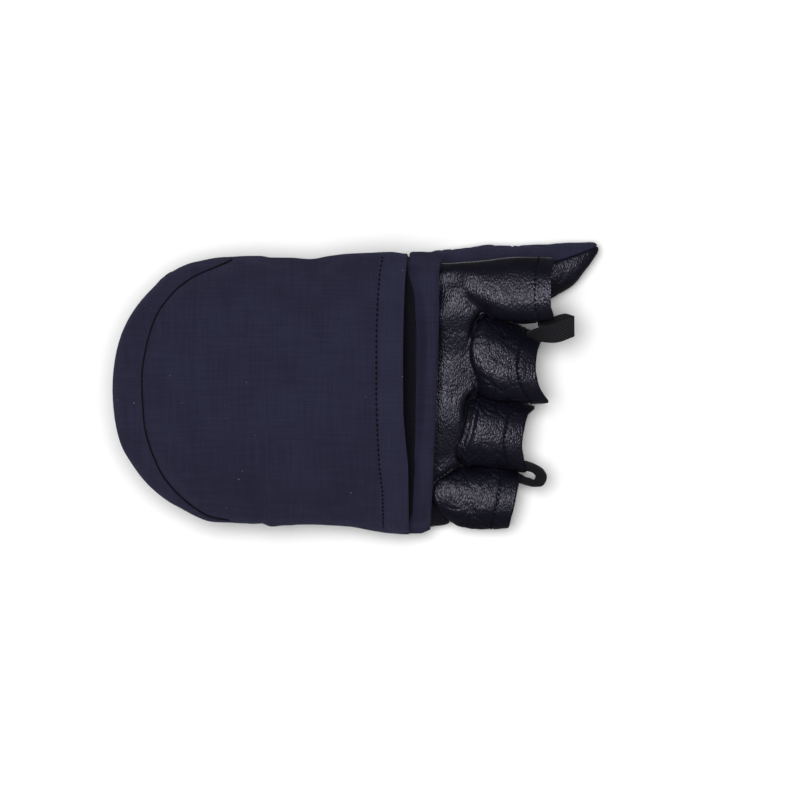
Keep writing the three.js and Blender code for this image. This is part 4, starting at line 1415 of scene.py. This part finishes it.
def makeTape(name, settings):
    count = tape["steps"]
    line = dense(settings["points"], count)
    across = unit(dense(settings["across"], count))
    face = unit(np.cross(unit(np.gradient(line, axis=0)), across))
    half, thin = settings["width"] / 2, tape["thick"] / 2
    outline = [(-1, -0.5), (-0.94, -1)] + [(a, -1) for a in np.linspace(-0.8, 0.8, 9)]
    outline += [(0.94, -1), (1, -0.5), (1, 0.5), (0.94, 1)] + [(a, 1) for a in np.linspace(0.8, -0.8, 9)]
    outline += [(-0.94, 1), (-1, 0.5)]
    rings = [line + across * (a * half) + face * (f * thin) for a, f in outline]
    verts = np.stack(rings, axis=1).reshape(-1, 3)
    sides = len(outline)
    piece = makePiece(name, verts, gridFaces(count, sides) + endFaces(count, sides), tapeCloth)
    runs = lengthsAlong(line)
    uvs = piece.data.uv_layers.new(name="weave")
    for loop in piece.data.loops:
        ring, side = divmod(loop.vertex_index, sides)
        uvs.data[loop.index].uv = (runs[ring] / 10, outline[side][0] * half / 10)
    standsFor(creased(outward(piece), 40), "tape", settings["node"])


for name, settings in tapes.items():
    makeTape(name, settings)
print("pull loops made")


# ---- stitches of the index hem

def indexStitches():
    turns = np.linspace(0, 2 * math.pi, 260)
    sizes = indexStall["sections"]
    aside, rise = rounded(np.cos(turns), indexStall["across"]), rounded(np.sin(turns), indexStall["up"])
    x = np.full(len(turns), 66.0)
    for _ in range(5):
        y = sizes["yMid"](x) + sizes["halfWidth"](x) * aside
        x = indexStall["hem"](y) - indexStall["hemBand"]
    line = np.stack([x, y, sizes["zMid"](x) + sizes["halfHeight"](x) * rise], axis=1)
    skin, _ = bodyParts["knuckle"]
    spots = np.array([skin[closest(skin[:, :3], point, 4)[0]].mean(axis=0) for point in line])
    spots[:, 0] = x
    stitchRow("index_hem_stitches", spots[:, :3], spots[:, 3:], hemStitches, "leather")


indexStitches()


# ---- studio: pale floor, soft light and the camera over the hand

studio = {
    # in metres; the camera looks down on the centre from this far above the height
    "floor": (0.93, 0.93, 0.93), "sky": 0.085, "centre": (0.0161, -0.0044), "height": 0.050,
    "distance": 5.0, "pixel": 0.00037, "pixels": 800, "sensor": 36,
    # place, target, size and power
    "lights": {
        "overhead_softbox": ((-0.4, 0.22, 5.6), (0, 0, 0), 2.8, 335),
        "side_softbox": ((1.6, -1.4, 1.8), (0, 0, 0.02), 1.2, 3.4),
        "far_softbox": ((-1.8, 1.2, 1.8), (0, 0, 0.02), 1.2, 3.4),
    },
}


def makeFloor():
    bpy.ops.object.select_all(action="DESELECT")
    bpy.ops.mesh.primitive_plane_add(size=6, location=(0, 0, -0.00015))
    floor = bpy.context.object
    floor.name = "studio_floor"
    stops = [(0.3, (0.92, 0.92, 0.92)), (0.7, studio["floor"])]
    floor.data.materials.append(plainMaterial("pale_floor", 6, stops, None, 0.9, 0.1, Detail=3))
    floor.visible_glossy = False  # dark leather doesn't mirror the white floor, as beside black cards


def addLight(name, place, target, size, power):
    data = bpy.data.lights.new(name, "AREA")
    data.shape = "DISK"
    data.size = size
    data.energy = power
    light = bpy.data.objects.new(name, data)
    bpy.context.scene.collection.objects.link(light)
    light.location = place
    light.rotation_euler = Vector(np.array(target) - np.array(place)).to_track_quat("-Z", "Y").to_euler()


def makeStudio():
    makeFloor()
    for name, light in studio["lights"].items():
        addLight(name, *light)
    world = bpy.data.worlds.new("studio_air")
    world.use_nodes = True
    world.node_tree.nodes["Background"].inputs[0].default_value = (1, 1, 1, 1)
    world.node_tree.nodes["Background"].inputs[1].default_value = studio["sky"]
    bpy.context.scene.world = world
    data = bpy.data.cameras.new("photo_camera")
    data.sensor_width = studio["sensor"]
    data.lens = studio["sensor"] * studio["distance"] / (studio["pixels"] * studio["pixel"])
    data.clip_end = 20
    camera = bpy.data.objects.new("photo_camera", data)
    bpy.context.scene.collection.objects.link(camera)
    camera.location = (*studio["centre"], studio["height"] + studio["distance"])
    bpy.context.scene.camera = camera
    bpy.context.scene.view_settings.view_transform = "Standard"


makeStudio()
print("studio ready")
